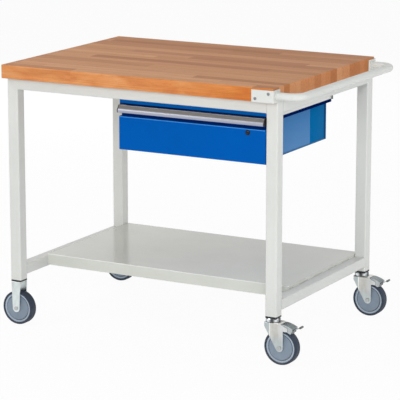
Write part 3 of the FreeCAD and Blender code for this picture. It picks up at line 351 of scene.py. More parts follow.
def glued_staves():
    """Edge-glued hardwood: staves along X, each of several lengths with its own rings, grain and flecks."""
    inputs = {"Vector": ("Vector", None), "Width": ("Float", STAVE_WIDTH), "Length": ("Float", STAVE_LENGTH)}
    tree, given, made = effect("glued_staves", inputs, ("Tone", "Shift", "Joint", "Grain", "Fleck"))
    x, y, z = axes(tree, given["Vector"])
    waves = [times(tree, calc(tree, "SINE", times(tree, y, turn)), reach) for turn, reach in WIDTH_WAVES]
    row = calc(tree, "DIVIDE", plus(tree, y, plus(tree, *waves)), given["Width"])
    stave = calc(tree, "FLOOR", row)
    across = calc(tree, "FRACT", row)
    start = place(tree, "TexWhiteNoise", {"W": stave}, noise_dimensions="1D").outputs[0]
    run = plus(tree, calc(tree, "DIVIDE", x, given["Length"]), times(tree, start, LENGTH_SHUFFLE))
    length = calc(tree, "FLOOR", run)
    along = calc(tree, "FRACT", run)
    cell = place(tree, "CombineXYZ", {0: stave, 1: length, 2: 0.5}).outputs[0]
    chance = place(tree, "TexWhiteNoise", {"Vector": cell}, noise_dimensions="3D").outputs
    green, blue = place(tree, "SeparateColor", {0: chance["Color"]}).outputs[1:3]
    tree.links.new(chance["Value"], made["Tone"])
    tree.links.new(green, made["Shift"])
    # Glue lines between staves and butt joints along them
    glue = span(tree, to_edge(tree, across, given["Width"]), *GLUE_LINE, 0.7, 0.0)
    butt = span(tree, to_edge(tree, along, given["Length"]), *GLUE_LINE, 1.0, 0.0)
    tree.links.new(calc(tree, "MAXIMUM", glue, butt), made["Joint"])
    # Grain drawn out along the stave, and growth rings about a heart that differs for each length
    drawn = stretched(tree, given["Vector"], GRAIN_STRETCH)
    offset = stretched(tree, chance["Color"], GRAIN_SHUFFLE)
    moved = place(tree, "VectorMath", {0: drawn, 1: offset}, operation="ADD").outputs[0]
    streak = noise(tree, moved, detail=5.0, distortion=0.5)
    heart_y = plus(tree, times(tree, across, given["Width"]), span(tree, green, 0.0, 1.0, *HEART_ASIDE))
    heart_z = plus(tree, calc(tree, "SUBTRACT", z, HEART_LEVEL), span(tree, blue, 0.0, 1.0, *HEART_ABOVE))
    sway = times(tree, noise(tree, stretched(tree, moved, HEART_SWAY)), SWAY_REACH)
    square = plus(tree, times(tree, heart_y, heart_y), times(tree, heart_z, heart_z))
    radius = plus(tree, calc(tree, "SQRT", square), sway)
    rings = calc(tree, "SINE", times(tree, radius, RING_TURN))
    grain = plus(tree, span(tree, streak, 0.25, 0.75, 0.0, 0.75), span(tree, rings, -1.0, 1.0, 0.0, 0.25))
    tree.links.new(grain, made["Grain"])
    dash = noise(tree, stretched(tree, given["Vector"], FLECK_STRETCH), detail=1.0)
    tree.links.new(span(tree, dash, 0.62, 0.70), made["Fleck"])
    return tree


def beech():
    """Oiled beech: staves on the top, one long board along the front and the rear, end grain at the sides."""
    material, tree, shader, coords = finish("oiled_beech", Specular_IOR_Level=0.15)
    wood = use(tree, glued_staves(), {"Vector": coords["Object"]})
    facing = axes(tree, coords["Normal"])
    ends, broad, flat = [span(tree, calc(tree, "ABSOLUTE", way), *FACES_AXIS) for way in facing]
    # The top is paler and pinker than the long boards: a painted sheen, with a pink share that differs at
    # random from stave to stave.
    pink = times(tree, wood["Shift"], PINK_SHARE)
    top = mixed(tree, pink, ramp(tree, wood["Tone"], TOP_SHEEN_TONES), TOP_PINK)
    # The long boards have a cloudy figure instead of butt joints, and painted light: paler at the left end,
    # deepening towards the handle
    cloud = noise(tree, stretched(tree, coords["Object"], BOARD_CLOUD), detail=3.0, distortion=0.8)
    along = axes(tree, coords["Object"])["X"]
    light_drift = mixed(tree, span(tree, along, *BOARD_LIGHT_DRIFT), BOARD_LIT_PALE, BOARD_DEEP)
    board = mixed(tree, 1.0, ramp(tree, cloud, BOARD_TONES), light_drift, "MULTIPLY")
    side = mixed(tree, ends, board, ramp(tree, wood["Tone"], END_TONES))
    ground = mixed(tree, flat, side, top)
    grained = toned(tree, ground, span(tree, wood["Grain"], 0.1, 0.9, *GRAIN_TONES))
    flecked = mixed(tree, times(tree, wood["Fleck"], FLECK_SHARE), grained, FLECK_BROWN)
    joint = times(tree, wood["Joint"], calc(tree, "SUBTRACT", 1.0, broad))
    jointed = mixed(tree, times(tree, joint, GLUE_SHARE), flecked, GLUE_BROWN)
    marks = use(tree, MARKS, {"Vector": coords["Object"], "Amount": 0.25})
    tree.links.new(mixed(tree, marks["Mark"], jointed, RUBBED_WOOD), shader["Base Color"])
    tree.links.new(span(tree, wood["Grain"], 0.0, 1.0, *GRAIN_ROUGHNESS), shader["Roughness"])
    height = calc(tree, "SUBTRACT", wood["Grain"], plus(tree, joint, wood["Fleck"]))
    tree.links.new(bumped(tree, height, strength=0.25, distance=0.0002), shader["Normal"])
    return material


# Paint, plating, drawn metal and plastic
FRAME_DUST = (0.36, 0.33, 0.28)
ZINC_DUST = (0.30, 0.29, 0.27)
WHEEL_DUST = (0.32, 0.30, 0.27)
BRIGHT_ZINC = (0.86, 0.87, 0.88)
DULL_ZINC = (0.35, 0.36, 0.36)
BRIGHT_METAL = (0.88, 0.88, 0.90)
DULL_METAL = (0.40, 0.40, 0.42)
MARKS_IN_PAINT = 0.4
MARK_ROUGHNESS = 0.08
EDGES_IN_ZINC = 0.4
MARKS_IN_ZINC = 0.5
EDGES_IN_METAL = 0.5
MARKS_IN_METAL = 0.4
EDGES_IN_PLASTIC = 0.35
FACES_UP = (0.5, 0.85)
REFLECTION_STRIPE_COUNT = 5.0
REFLECTION_STRIPE_TURN = -1.4


def powder_paint(name, colour, worn, roughness, specular, dust=0.0, peel=0.06, wear=0.2, fold_highlight=None, bands=()):
    """Baked powder paint over sheet and tube, a little rubbed along its edges and dusty low down.

    A fold highlight colour paints a highlight on the rounded edges round a top.
    """
    material, tree, shader, coords = finish(name, Specular_IOR_Level=specular)
    skin = use(tree, SKIN, {"Vector": coords["Object"]})
    edges = use(tree, EDGES, {"Radius": 0.0010})
    marks = use(tree, MARKS, {"Vector": coords["Object"], "Amount": wear})
    ground = banded(tree, coords, colour, bands)
    if fold_highlight:
        ground = mixed(tree, use(tree, RIM_HIGHLIGHTS, {"Facing": coords["Normal"]})["Rim"], ground, fold_highlight)
    base = toned(tree, ground, skin["Tone"])
    rubbed = mixed(tree, times(tree, edges["Edge"], wear), base, worn)
    marked = mixed(tree, times(tree, marks["Mark"], MARKS_IN_PAINT), rubbed, worn)
    dusty = dusted(tree, coords, marked, dust, clear_above=0.30, colour=FRAME_DUST)
    tree.links.new(dusty, shader["Base Color"])
    scuffed = times(tree, marks["Mark"], MARK_ROUGHNESS)
    tree.links.new(plus(tree, plus(tree, skin["Roughness"], roughness), scuffed), shader["Roughness"])
    relief = bumped(tree, skin["Height"], strength=peel, distance=0.00025, normal=edges["Normal"])
    tree.links.new(relief, shader["Normal"])
    return material


def zinc_plate(name, colour, roughness, dust=0.0, bands=(), roof_shade=None, reflection_stripes=None):
    """Zinc plating on pressed and turned steel.

    A roof shade colour is painted shade on faces that look up. Reflection stripes are a painted reflection:
    the darkest and brightest tone that a turned part shows round its axis, as polished plating does.
    """
    material, tree, shader, coords = finish(name, Metallic=1.0)
    spangle = use(tree, SPANGLE, {"Vector": coords["Object"]})
    marks = use(tree, MARKS, {"Vector": coords["Object"], "Amount": 0.5})
    edges = use(tree, EDGES, {"Radius": 0.0009})
    ground = banded(tree, coords, colour, bands)
    # Painted shade: faces that look up take the darker roof colour.
    if roof_shade:
        ground = mixed(tree, span(tree, axes(tree, coords["Normal"])["Z"], *FACES_UP), ground, roof_shade)
    # Painted reflection: dark and bright stripes round the axis of a turned part.
    if reflection_stripes:
        facing = axes(tree, coords["Normal"])
        angle = calc(tree, "ARCTAN2", facing["Y"], facing["X"])
        wave = calc(tree, "SINE", plus(tree, times(tree, angle, REFLECTION_STRIPE_COUNT), REFLECTION_STRIPE_TURN))
        ground = toned(tree, ground, span(tree, wave, -0.8, 0.8, *reflection_stripes))
    base = toned(tree, ground, spangle["Tone"])
    bright = mixed(tree, times(tree, edges["Edge"], EDGES_IN_ZINC), base, BRIGHT_ZINC)
    dull = mixed(tree, times(tree, marks["Mark"], MARKS_IN_ZINC), bright, DULL_ZINC)
    dusty = dusted(tree, coords, dull, dust, clear_above=0.2, colour=ZINC_DUST)
    tree.links.new(dusty, shader["Base Color"])
    tree.links.new(plus(tree, spangle["Roughness"], roughness), shader["Roughness"])
    relief = bumped(tree, spangle["Height"], strength=0.06, distance=0.0002, normal=edges["Normal"])
    tree.links.new(relief, shader["Normal"])
    return material


def drawn_metal(name, colour, roughness, across):
    """Drawn or rolled metal, with its lines close together across the run."""
    material, tree, shader, coords = finish(name, Metallic=1.0)
    lines = use(tree, LINES, {"Vector": coords["Object"], "Across": across})
    marks = use(tree, MARKS, {"Vector": coords["Object"], "Amount": 0.4})
    edges = use(tree, EDGES, {"Radius": 0.0006})
    base = toned(tree, colour, lines["Tone"])
    dull = mixed(tree, times(tree, marks["Mark"], MARKS_IN_METAL), base, DULL_METAL)
    bright = mixed(tree, times(tree, edges["Edge"], EDGES_IN_METAL), dull, BRIGHT_METAL)
    tree.links.new(bright, shader["Base Color"])
    rough = span(tree, lines["Tone"], *LINE_TONES, roughness + 0.06, roughness - 0.04)
    tree.links.new(rough, shader["Roughness"])
    relief = bumped(tree, lines["Height"], strength=0.05, distance=0.0001, normal=edges["Normal"])
    tree.links.new(relief, shader["Normal"])
    return material


def moulded(name, colour, worn, roughness, dust=0.0, specular=0.5, scale=1400.0):
    """Moulded plastic or rubber."""
    material, tree, shader, coords = finish(name, Specular_IOR_Level=specular)
    grain = use(tree, GRAIN, {"Vector": coords["Object"], "Scale": scale})
    edges = use(tree, EDGES, {"Radius": 0.0007})
    base = toned(tree, colour, grain["Tone"])
    rubbed = mixed(tree, times(tree, edges["Edge"], EDGES_IN_PLASTIC), base, worn)
    dusty = dusted(tree, coords, rubbed, dust, clear_above=0.16, colour=WHEEL_DUST)
    tree.links.new(dusty, shader["Base Color"])
    tree.links.new(plus(tree, grain["Roughness"], roughness), shader["Roughness"])
    relief = bumped(tree, grain["Height"], strength=0.12, distance=0.0002, normal=edges["Normal"])
    tree.links.new(relief, shader["Normal"])
    return material


GREY = (0.645, 0.655, 0.628)
PALE_GREY = (0.74, 0.75, 0.73)
BLUE = (0.0003, 0.0905, 0.388)
PALE_BLUE = (0.02, 0.20, 0.60)
BLACK = (0.022, 0.023, 0.025)
TAB_SHADE_GREY = (0.21, 0.215, 0.215)

# Where the colour changes along a piece, for painted shade, sheen and highlights as well as real colour:
# axis, start, full, colour
REAR_FOLD = 0.0150
insert_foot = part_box("leg_inserts")[0].z
fascia_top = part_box("drawer_fascia")[1].z
hanger_low, hanger_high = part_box("housing_hangers")
side_low, side_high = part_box("housing_side_right")
fold_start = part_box("housing_back")[1].y - REAR_FOLD
fork_low, fork_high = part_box("fork_front_right")
brake_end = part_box("brake_housing_front_right")[1].x
INSERT_RIM = [(Z_AXIS, insert_foot + 0.0060, insert_foot + 0.0055, BLACK)]
FASCIA_SHADOW = [(Z_AXIS, fascia_top - 0.0114, fascia_top - 0.0120, (0.0004, 0.008, 0.060))]
# Painted shade: the hangers' rear tabs turn dark grey where they sit in shadow under the rails.
HANGER_TAB_SHADE = [(X_AXIS, hanger_high.x - 0.0059, hanger_high.x - 0.0055, TAB_SHADE_GREY),
               (X_AXIS, hanger_low.x + 0.0059, hanger_low.x + 0.0055, TAB_SHADE_GREY)]
# Painted sheen on the housing sides: a paler blue low down that gives way to a deeper blue towards the top.
HOUSING_SHEEN = [(Z_AXIS, side_low.z + 0.020, side_high.z - 0.009, (0.004, 0.140, 0.385))]
FOLD_SHADE = [(Y_AXIS, fold_start - 0.0002, fold_start + 0.0002, (0.001, 0.058, 0.185))]
# Painted highlight and shade on the swivel forks: a bright line along the front edge, a warm strip beside it,
# a paler strip further back and a lighter band near the top.
FORK_HIGHLIGHT_BANDS = [(X_AXIS, fork_low.x + 0.0167, fork_low.x + 0.0179, (0.95, 0.96, 0.95)),
               (X_AXIS, fork_low.x + 0.0197, fork_low.x + 0.0213, (0.665, 0.660, 0.622)),
               (X_AXIS, fork_low.x + 0.0475, fork_low.x + 0.0585, (0.72, 0.74, 0.735)),
               (Z_AXIS, fork_high.z - 0.038, fork_high.z - 0.062, (0.60, 0.65, 0.655))]
PEDAL_LEVER = [(X_AXIS, brake_end - 0.0025, brake_end - 0.0005, (0.52, 0.55, 0.56))]

# One finish for each slot of the solids
FINISHES = {
    "beech": beech(),
    "frame_paint": powder_paint("light_grey_powder", GREY, worn=PALE_GREY, roughness=0.32, specular=0.4,
                                dust=0.04, wear=0.1, bands=INSERT_RIM),
    "blue_paint": powder_paint("blue_powder", BLUE, worn=PALE_BLUE, roughness=0.36, specular=0.02),
    "runner_steel": drawn_metal("runner_zinc", (0.62, 0.63, 0.65), roughness=0.36,
                                across=(1500.0, 6.0, 1500.0)),
    "grip_aluminium": drawn_metal("satin_aluminium", (0.43, 0.45, 0.53), roughness=0.34,
                                  across=(5.0, 1600.0, 1600.0)),
    "label_plastic": moulded("label_film", (0.158, 0.153, 0.145), worn=(0.25, 0.24, 0.23),
                             roughness=0.45, specular=0.3),
    "black_plastic": moulded("black_plastic", (0.014, 0.015, 0.017), worn=(0.04, 0.04, 0.045),
                             roughness=0.48, dust=0.1, specular=0.25),
    "lock_black": moulded("lock_black", (0.010, 0.012, 0.014), worn=(0.03, 0.03, 0.033),
                          roughness=0.36, specular=0.2),
    "lock_steel": drawn_metal("lock_nickel", (0.022, 0.028, 0.036), roughness=0.38,
                              across=(900.0, 900.0, 900.0)),
    "zinc_steel": zinc_plate("fork_zinc", (0.63, 0.66, 0.645), roughness=0.36, dust=0.10),
    "bolt_steel": zinc_plate("bolt_zinc", (0.54, 0.56, 0.56), roughness=0.40, dust=0.15),
    "screw_dark": zinc_plate("screw_zinc", (0.30, 0.31, 0.32), roughness=0.36),
    "hub_plastic": moulded("hub_plastic", (0.203, 0.254, 0.318), worn=(0.30, 0.35, 0.42),
                           roughness=0.42, dust=0.08),
    "tyre_rubber": moulded("tyre_rubber", (0.030, 0.042, 0.066), worn=(0.06, 0.075, 0.105),
                           roughness=0.62, dust=0.12, specular=0.25, scale=1100.0),
}

# Finishes of single pieces
# The shelf's fold colour is a painted highlight along the rounded edges of its top.
SHELF_PAINT = powder_paint("shelf_powder", (0.60, 0.615, 0.56), worn=PALE_GREY, roughness=0.16, specular=0.55,
                           dust=0.03, peel=0.01, wear=0.0, fold_highlight=(0.80, 0.81, 0.78))
# Painted light: the hangers are a paler grey than the frame, standing in for light under the worktop. Their
# rear tabs carry painted shade.
HANGER_LIT_AND_SHADED_PAINT = powder_paint("hanger_grey_painted_light_and_shade", PALE_GREY, worn=PALE_GREY, roughness=0.42, specular=0.4,
                            wear=0.1, bands=HANGER_TAB_SHADE)
# The drawer front's fold colour is a painted highlight along its rounded top edge.
FRONT_PAINT = powder_paint("front_blue", BLUE, worn=PALE_BLUE, roughness=0.36, specular=0.02,
                           fold_highlight=(0.06, 0.31, 0.86))
FASCIA_PAINT = powder_paint("fascia_blue", (0.0004, 0.084, 0.325), worn=PALE_BLUE, roughness=0.36,
                            specular=0.02, bands=FASCIA_SHADOW)
# Painted shade: the backing behind the grip is a darker blue for the shadow in the recess under the grip.
RECESS_SHADE_PAINT = powder_paint("recess_shade_blue", (0.0002, 0.026, 0.180), worn=BLUE, roughness=0.45,
                            specular=0.02, wear=0.1)
# Painted sheen: the housing sides are a paler blue than the drawer, though it is the same paint.
HOUSING_SHEEN_PAINT = powder_paint("housing_sheen_blue", (0.052, 0.200, 0.455), worn=PALE_BLUE, roughness=0.22,
                             specular=0.10, peel=0.03, bands=HOUSING_SHEEN)
WRAP_PAINT = powder_paint("wrap_blue", (0.0005, 0.128, 0.345), worn=PALE_BLUE, roughness=0.40, specular=0.01)
HEM_PAINT = powder_paint("hem_blue", (0.050, 0.155, 0.310), worn=BLUE, roughness=0.40, specular=0.01,
                         bands=FOLD_SHADE)
# Painted shade: the navy skin over the housing's hanging lips, which sit in shadow under the rails.
LIP_SHADE_PAINT = powder_paint("lip_shade_navy", (0.0005, 0.010, 0.085), worn=BLUE, roughness=0.45, specular=0.0,
                          wear=0.1)
# Painted light: the fixed forks are a paler copy of the forks' zinc, standing in for stronger light on that
# side.
FIXED_FORK_LIT_ZINC = zinc_plate("fixed_fork_lit_zinc", (0.77, 0.83, 0.825), roughness=0.36, dust=0.08)
SWIVEL_FORK_ZINC = zinc_plate("swivel_fork_zinc", (0.54, 0.60, 0.61), roughness=0.34, dust=0.08,
                              bands=FORK_HIGHLIGHT_BANDS)
# The swivel heads carry painted reflection stripes round their axis.
HEAD_ZINC = zinc_plate("head_zinc", (0.64, 0.68, 0.70), roughness=0.24, reflection_stripes=(0.14, 1.25))
# The brake housings' upward faces carry a painted shade, darker than their sides.
BRAKE_ZINC = zinc_plate("brake_zinc", (0.50, 0.54, 0.55), roughness=0.28, dust=0.1, roof_shade=(0.19, 0.225, 0.23))
PEDAL_ZINC = zinc_plate("pedal_zinc", (0.20, 0.22, 0.23), roughness=0.36, dust=0.1, bands=PEDAL_LEVER)
PEDAL_TIP = moulded("pedal_tip", (0.130, 0.133, 0.135), worn=(0.20, 0.20, 0.20), roughness=0.45, dust=0.05,
                    specular=0.3)
HUB_RING = moulded("hub_ring", (0.338, 0.402, 0.482), worn=(0.44, 0.50, 0.57), roughness=0.38, dust=0.08)
# Painted shade: the groove between the hub face and the rim ring is coloured dark.
HUB_GROOVE_SHADE = moulded("hub_groove_shade", (0.085, 0.105, 0.130), worn=(0.12, 0.14, 0.17), roughness=0.5, dust=0.08)

OWN_FINISH = {"shelf_tray": SHELF_PAINT, "housing_hangers": HANGER_LIT_AND_SHADED_PAINT, "drawer_front": FRONT_PAINT,
              "drawer_fascia": FASCIA_PAINT, "drawer_backing": RECESS_SHADE_PAINT, "housing_back": WRAP_PAINT,
              "housing_side_left": HOUSING_SHEEN_PAINT, "housing_side_right": HOUSING_SHEEN_PAINT}
for corner in FIXED_CORNERS:
    OWN_FINISH["fork_" + corner] = FIXED_FORK_LIT_ZINC
for corner in SWIVEL_CORNERS:
    OWN_FINISH["fork_" + corner] = SWIVEL_FORK_ZINC
    OWN_FINISH["swivel_head_" + corner] = HEAD_ZINC
    OWN_FINISH["brake_housing_" + corner] = BRAKE_ZINC
    OWN_FINISH["brake_pedal_" + corner] = PEDAL_ZINC
for node in nodes.values():
    for slot in node.material_slots:
        slot.material = FINISHES[slot.material.name]
for name, material in OWN_FINISH.items():
    nodes[name].material_slots[0].material = material


# New pieces
def soften(bm, width, angle=28.0):
    """Round the sharp edges of a mesh."""
    limit = math.radians(angle)
    sharp = [e for e in bm.edges if len(e.link_faces) == 2 and e.calc_face_angle(0.0) > limit]
    bmesh.ops.bevel(bm, geom=sharp, offset=width, affect="EDGES", segments=2, profile=0.5, material=-1)


def finished(name, bm, body, materials, replaces=(), angle=35.0):
    """Turn a bmesh into a piece that rides on a body."""
    bmesh.ops.remove_doubles(bm, verts=bm.verts, dist=1e-6)
    bmesh.ops.recalc_face_normals(bm, faces=bm.faces)
    mesh = bpy.data.meshes.new(name)
    bm.to_mesh(mesh)
    bm.free()
    for material in materials:
        mesh.materials.append(material)
    mesh.shade_smooth()
    mesh.set_sharp_from_angle(angle=math.radians(angle))
    piece = bpy.data.objects.new(name, mesh)
    bpy.context.scene.collection.objects.link(piece)
    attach(piece, body)
    if replaces:
        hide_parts(*replaces)


def spun(bm, profile, centre, axis, outward, steps):
    """A closed outline of (radius, height) turned full round an axis. It starts on the outward side."""
    corners = [bm.verts.new(centre + outward * r + axis * h) for r, h in profile]
    outline = [bm.edges.new((a, b)) for a, b in zip(corners, corners[1:] + corners[:1])]
    bmesh.ops.spin(bm, geom=corners + outline, cent=centre, axis=axis, angle=math.tau, steps=steps,
                   use_merge=True)


def rod(bm, start, end, radius, sides):
    """A round bar between two points. Gives back its corners."""
    run = end - start
    turn = Z_AXIS.rotation_difference(run.normalized()).to_matrix().to_4x4()
    put = Matrix.Translation((start + end) / 2) @ turn
    return bmesh.ops.create_cone(bm, cap_ends=True, segments=sides, radius1=radius, radius2=radius,
                                 depth=run.length, matrix=put)["verts"]


def strip(bm, low, high):
    """A thin box between two corners."""
    size = Matrix.Diagonal((*(abs(a - b) for a, b in zip(low, high)), 1))
    put = Matrix.Translation((Vector(low) + Vector(high)) / 2) @ size
    bmesh.ops.create_cube(bm, size=1.0, matrix=put)


# Wheels. Half outlines as (radius, height above the wheel's middle), from the bore or the hub outwards.
HUB_HALF = [(0.00605, 0.0187), (0.0105, 0.0187), (0.0116, 0.0178), (0.0132, 0.0130), (0.0165, 0.0121),
            (0.0300, 0.0114), (0.0380, 0.0116), (0.0398, 0.0121), (0.0412, 0.0118), (0.0417, 0.0088),
            (0.0434, 0.0088), (0.0439, 0.0131), (0.0450, 0.0135), (0.0488, 0.0135), (0.04995, 0.0129)]
TYRE_HALF = [(0.0500, 0.0145), (0.0512, 0.0152), (0.0524, 0.0160), (0.0534, 0.0160), (0.0538, 0.0157),
             (0.0548, 0.0155), (0.0560, 0.0147), (0.0569, 0.0132), (0.0574, 0.0112), (0.0575, 0.0080),
             (0.0575, 0.0004)]
GROOVE_FROM = 0.0414
RING_FROM = 0.0436
HUB_STEPS = 96
TYRE_STEPS = 120
HUB_EDGE = 0.0003


def both_faces(half):
    return half + [(r, -h) for r, h in reversed(half)]


def build_wheel(corner):
    """A blue-grey hub with a dished face, a lighter rim ring and a dark tyre with rounded shoulders."""
    low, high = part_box("hub_" + corner)
    centre = (low + high) / 2
    body = "wheel_" + corner
    bm = bmesh.new()
    spun(bm, both_faces(HUB_HALF), centre, Y_AXIS, -Z_AXIS, HUB_STEPS)
    for face in bm.faces:
        away = face.calc_center_median() - centre
        away.y = 0
        if away.length > RING_FROM:
            face.material_index = 1
        # Faces in the groove take the dark finish, as painted shade.
        elif away.length > GROOVE_FROM:
            face.material_index = 2
    soften(bm, HUB_EDGE)
    plastics = [FINISHES["hub_plastic"], HUB_RING, HUB_GROOVE_SHADE]
    finished("wheel_hub_" + corner, bm, body, plastics, ["hub_" + corner])
    bm = bmesh.new()
    spun(bm, both_faces(TYRE_HALF), centre, Y_AXIS, -Z_AXIS, TYRE_STEPS)
    finished("wheel_tyre_" + corner, bm, body, [FINISHES["tyre_rubber"]], ["tyre_" + corner])


# Rolled ends of the brake pedals
TIP_RADIUS = 0.0036
TIP_REACH = 0.0104
TIP_EDGE = 0.0009
TIP_BACK = 0.0012
TIP_DROP = 0.0022
ROD_SIDES = 14


def build_pedal_tip(corner):
    """The grey rolled end of a brake pedal."""
    low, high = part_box("brake_pedal_" + corner)
    centre = Vector((high.x - TIP_BACK, (low.y + high.y) / 2, high.z - TIP_DROP))
    reach = Y_AXIS * TIP_REACH
    bm = bmesh.new()
    rod(bm, centre - reach, centre + reach, TIP_RADIUS, ROD_SIDES)
    soften(bm, TIP_EDGE)
    finished("pedal_tip_" + corner, bm, "brake_" + corner, [PEDAL_TIP])


# Screws of the handle's brackets. The outline runs from the point through the shank to the drive recess.
SCREW_PROFILE = [(0.0, 0.0396), (0.0015, 0.0385), (0.00270, 0.034), (0.00270, 0.0), (0.0050, 0.0),
                 (0.0050, -0.0008), (0.0044, -0.0015), (0.0032, -0.0020), (0.0023, -0.0020),
                 (0.0020, -0.0007), (0.0, -0.0007)]
LOWER_SCREW_IN = 0.014
UPPER_SCREW_IN = 0.018
SCREW_FROM_EDGE = 0.011
SCREW_STEPS = 24


def build_bracket_screws():
    """Pan-head screws with a round drive recess, two in each bracket."""
    low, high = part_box("handle_bracket_front")
    spots = [(low.x + LOWER_SCREW_IN, low.z + SCREW_FROM_EDGE),
             (high.x - UPPER_SCREW_IN, high.z - SCREW_FROM_EDGE)]
    bm = bmesh.new()
    for side in (1, -1):
        for x, z in spots:
            spun(bm, SCREW_PROFILE, Vector((x, low.y * side, z)), Y_AXIS * side, X_AXIS, SCREW_STEPS)
    finished("bracket_screws", bm, "bench", [FINISHES["screw_dark"]], ["handle_screws"])


# Thin sheet of the drawer housing
WRAP_SHEET = 0.0006
WRAP_TALL = 0.124
WRAP_REACH = 0.118
WRAP_EDGE = 0.0002
FLANGE_WIDE = 0.019
SKIN_THICK = 0.0004
SKIN_EDGE = 0.00012
LIP_TALL = 0.0102
HEM_TALL = 0.0044


def build_housing_edges():
    """Dark edges of the drawer housing: the lips that it hangs by, whose navy skin is painted shade, its
    bottom hems and its rear folds.
    """
    lips = bmesh.new()
    hems = bmesh.new()
    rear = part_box("housing_back")[1].y
    for node, side in (("housing_side_left", -1), ("housing_side_right", 1)):
        low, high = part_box(node)
        edge = high.x if side > 0 else low.x
        wall = edge - side * FLANGE_WIDE
        wrapped = wall + side * WRAP_SHEET
        skin = side * SKIN_THICK
        strip(lips, (edge, low.y, high.z - LIP_TALL), (edge + skin, high.y, high.z))
        strip(hems, (wall, low.y, low.z), (wrapped + skin, rear - REAR_FOLD, low.z + HEM_TALL))
        strip(hems, (wrapped, rear - REAR_FOLD, low.z), (wrapped + skin, rear, low.z + WRAP_TALL))
    for name, bm, paint in (("flange_lip_shade", lips, LIP_SHADE_PAINT), ("housing_hems", hems, HEM_PAINT)):
        soften(bm, SKIN_EDGE)
        finished(name, bm, "bench", [paint])


def build_housing_wrap():
    """The back sheet of the drawer housing, folded round on to both sides."""
    low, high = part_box("housing_back")
    left = Vector((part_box("housing_side_left")[0].x + FLANGE_WIDE, high.y, low.z))
    right = Vector((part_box("housing_side_right")[1].x - FLANGE_WIDE, high.y, low.z))
    reach = Y_AXIS * WRAP_REACH
    bm = bmesh.new()
    corners = [bm.verts.new(spot) for spot in (left - reach, left, right, right - reach)]
    edges = [bm.edges.new(pair) for pair in zip(corners, corners[1:])]
    sheet = bmesh.ops.extrude_edge_only(bm, edges=edges)["geom"]
    raised = [part for part in sheet if isinstance(part, bmesh.types.BMVert)]
    bmesh.ops.translate(bm, verts=raised, vec=Z_AXIS * WRAP_TALL)
    bmesh.ops.recalc_face_normals(bm, faces=bm.faces)
    bmesh.ops.solidify(bm, geom=bm.faces[:], thickness=-WRAP_SHEET)
    soften(bm, WRAP_EDGE)
    finished("housing_wrap", bm, "bench", [WRAP_PAINT])


# Welds of the frame, the shelf and the handle
WELD_RADIUS = 0.0022
WELD_INSET = 0.004
WELD_SIDES = 10
RIPPLE_PITCH = 0.0022
RIPPLE_DEEP = 0.22
SEAM_ASIDE = 0.0014
SEAM_IN = 0.0025
STITCHES = 5
STITCH_LONG = 0.04
STITCH_RADIUS = 0.0018
STITCH_FIRST = 0.03
STITCH_SPARE = 0.10
STITCH_LAST = 0.045
COLLAR_ANGLES = (0.0, 0.8, 1.6, 2.4, 3.14)
COLLAR_STEPS = 40


def bead(bm, start, end, radius=WELD_RADIUS):
    """One weld bead: a rod whose rings swell and shrink like laid ripples."""
    start = Vector(start)
    end = Vector(end)
    run = end - start
    way = run.normalized()
    corners = rod(bm, start, end, radius, WELD_SIDES)
    edges = dict.fromkeys(e for v in corners for e in v.link_edges)
    long = [e for e in edges if abs((e.verts[1].co - e.verts[0].co).normalized().dot(way)) > 0.99]
    cuts = max(4, int(run.length / RIPPLE_PITCH))
    split = bmesh.ops.subdivide_edges(bm, edges=long, cuts=cuts, use_grid_fill=True)
    for vert in [v for v in split["geom_inner"] if isinstance(v, bmesh.types.BMVert)]:
        share = (vert.co - start).dot(run) / run.length_squared
        core = start + run * share
        ripple = 1.0 - RIPPLE_DEEP * (round(share * (cuts + 1)) % 2)
        vert.co = core + (vert.co - core) * ripple


def weld_top_rails(bm):
    for side in ("front", "rear"):
        low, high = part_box("top_rail_" + side)
        inner = high.y if side == "front" else low.y
        outer = low.y + SEAM_IN if side == "front" else high.y - SEAM_IN
        for x in (low.x, high.x):
            bead(bm, (x, low.y + WELD_INSET, low.z), (x, high.y - WELD_INSET, low.z))
            bead(bm, (x, inner, low.z + WELD_INSET), (x, inner, high.z - WELD_INSET))
            seam = x + math.copysign(SEAM_ASIDE, x)
            bead(bm, (seam, outer, low.z), (seam, outer, high.z))
    for side in ("left", "right"):
        low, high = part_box("top_rail_" + side)
        inner = high.x if side == "left" else low.x
        for y in (low.y, high.y):
            bead(bm, (low.x + WELD_INSET, y, low.z), (high.x - WELD_INSET, y, low.z))
            bead(bm, (inner, y, low.z + WELD_INSET), (inner, y, high.z - WELD_INSET))


def weld_lower_rails(bm):
    shelf_low, shelf_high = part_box("shelf_tray")
    step = (shelf_high.y - shelf_low.y - STITCH_SPARE) / (STITCHES - 1)
    for side in ("left", "right"):
        low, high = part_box("lower_rail_" + side)
        for y in (low.y, high.y):
            for z in (low.z, high.z):
                bead(bm, (low.x + WELD_INSET, y, z), (high.x - WELD_INSET, y, z))
        seam = high.x if side == "left" else low.x
        for i in range(STITCHES):
            y = min(shelf_low.y + STITCH_FIRST + i * step, high.y - STITCH_LAST)
            bead(bm, (seam, y, high.z), (seam, y + STITCH_LONG, high.z), STITCH_RADIUS)


def weld_handle(bm):
    low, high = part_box("push_handle")
    radius = (high.z - low.z) / 2
    collar = [(radius + WELD_RADIUS * math.cos(t), WELD_RADIUS * math.sin(t)) for t in COLLAR_ANGLES]
    for y in (low.y + radius, high.y - radius):
        centre = Vector((low.x, y, (low.z + high.z) / 2))
        spun(bm, collar, centre, X_AXIS, Z_AXIS, COLLAR_STEPS)


def build_welds():
    """Beads where the rails meet the legs, the shelf its rails and the handle its brackets."""
    bm = bmesh.new()
    weld_top_rails(bm)
    weld_lower_rails(bm)
    weld_handle(bm)
    finished("weld_beads", bm, "bench", [FINISHES["frame_paint"]], angle=60.0)


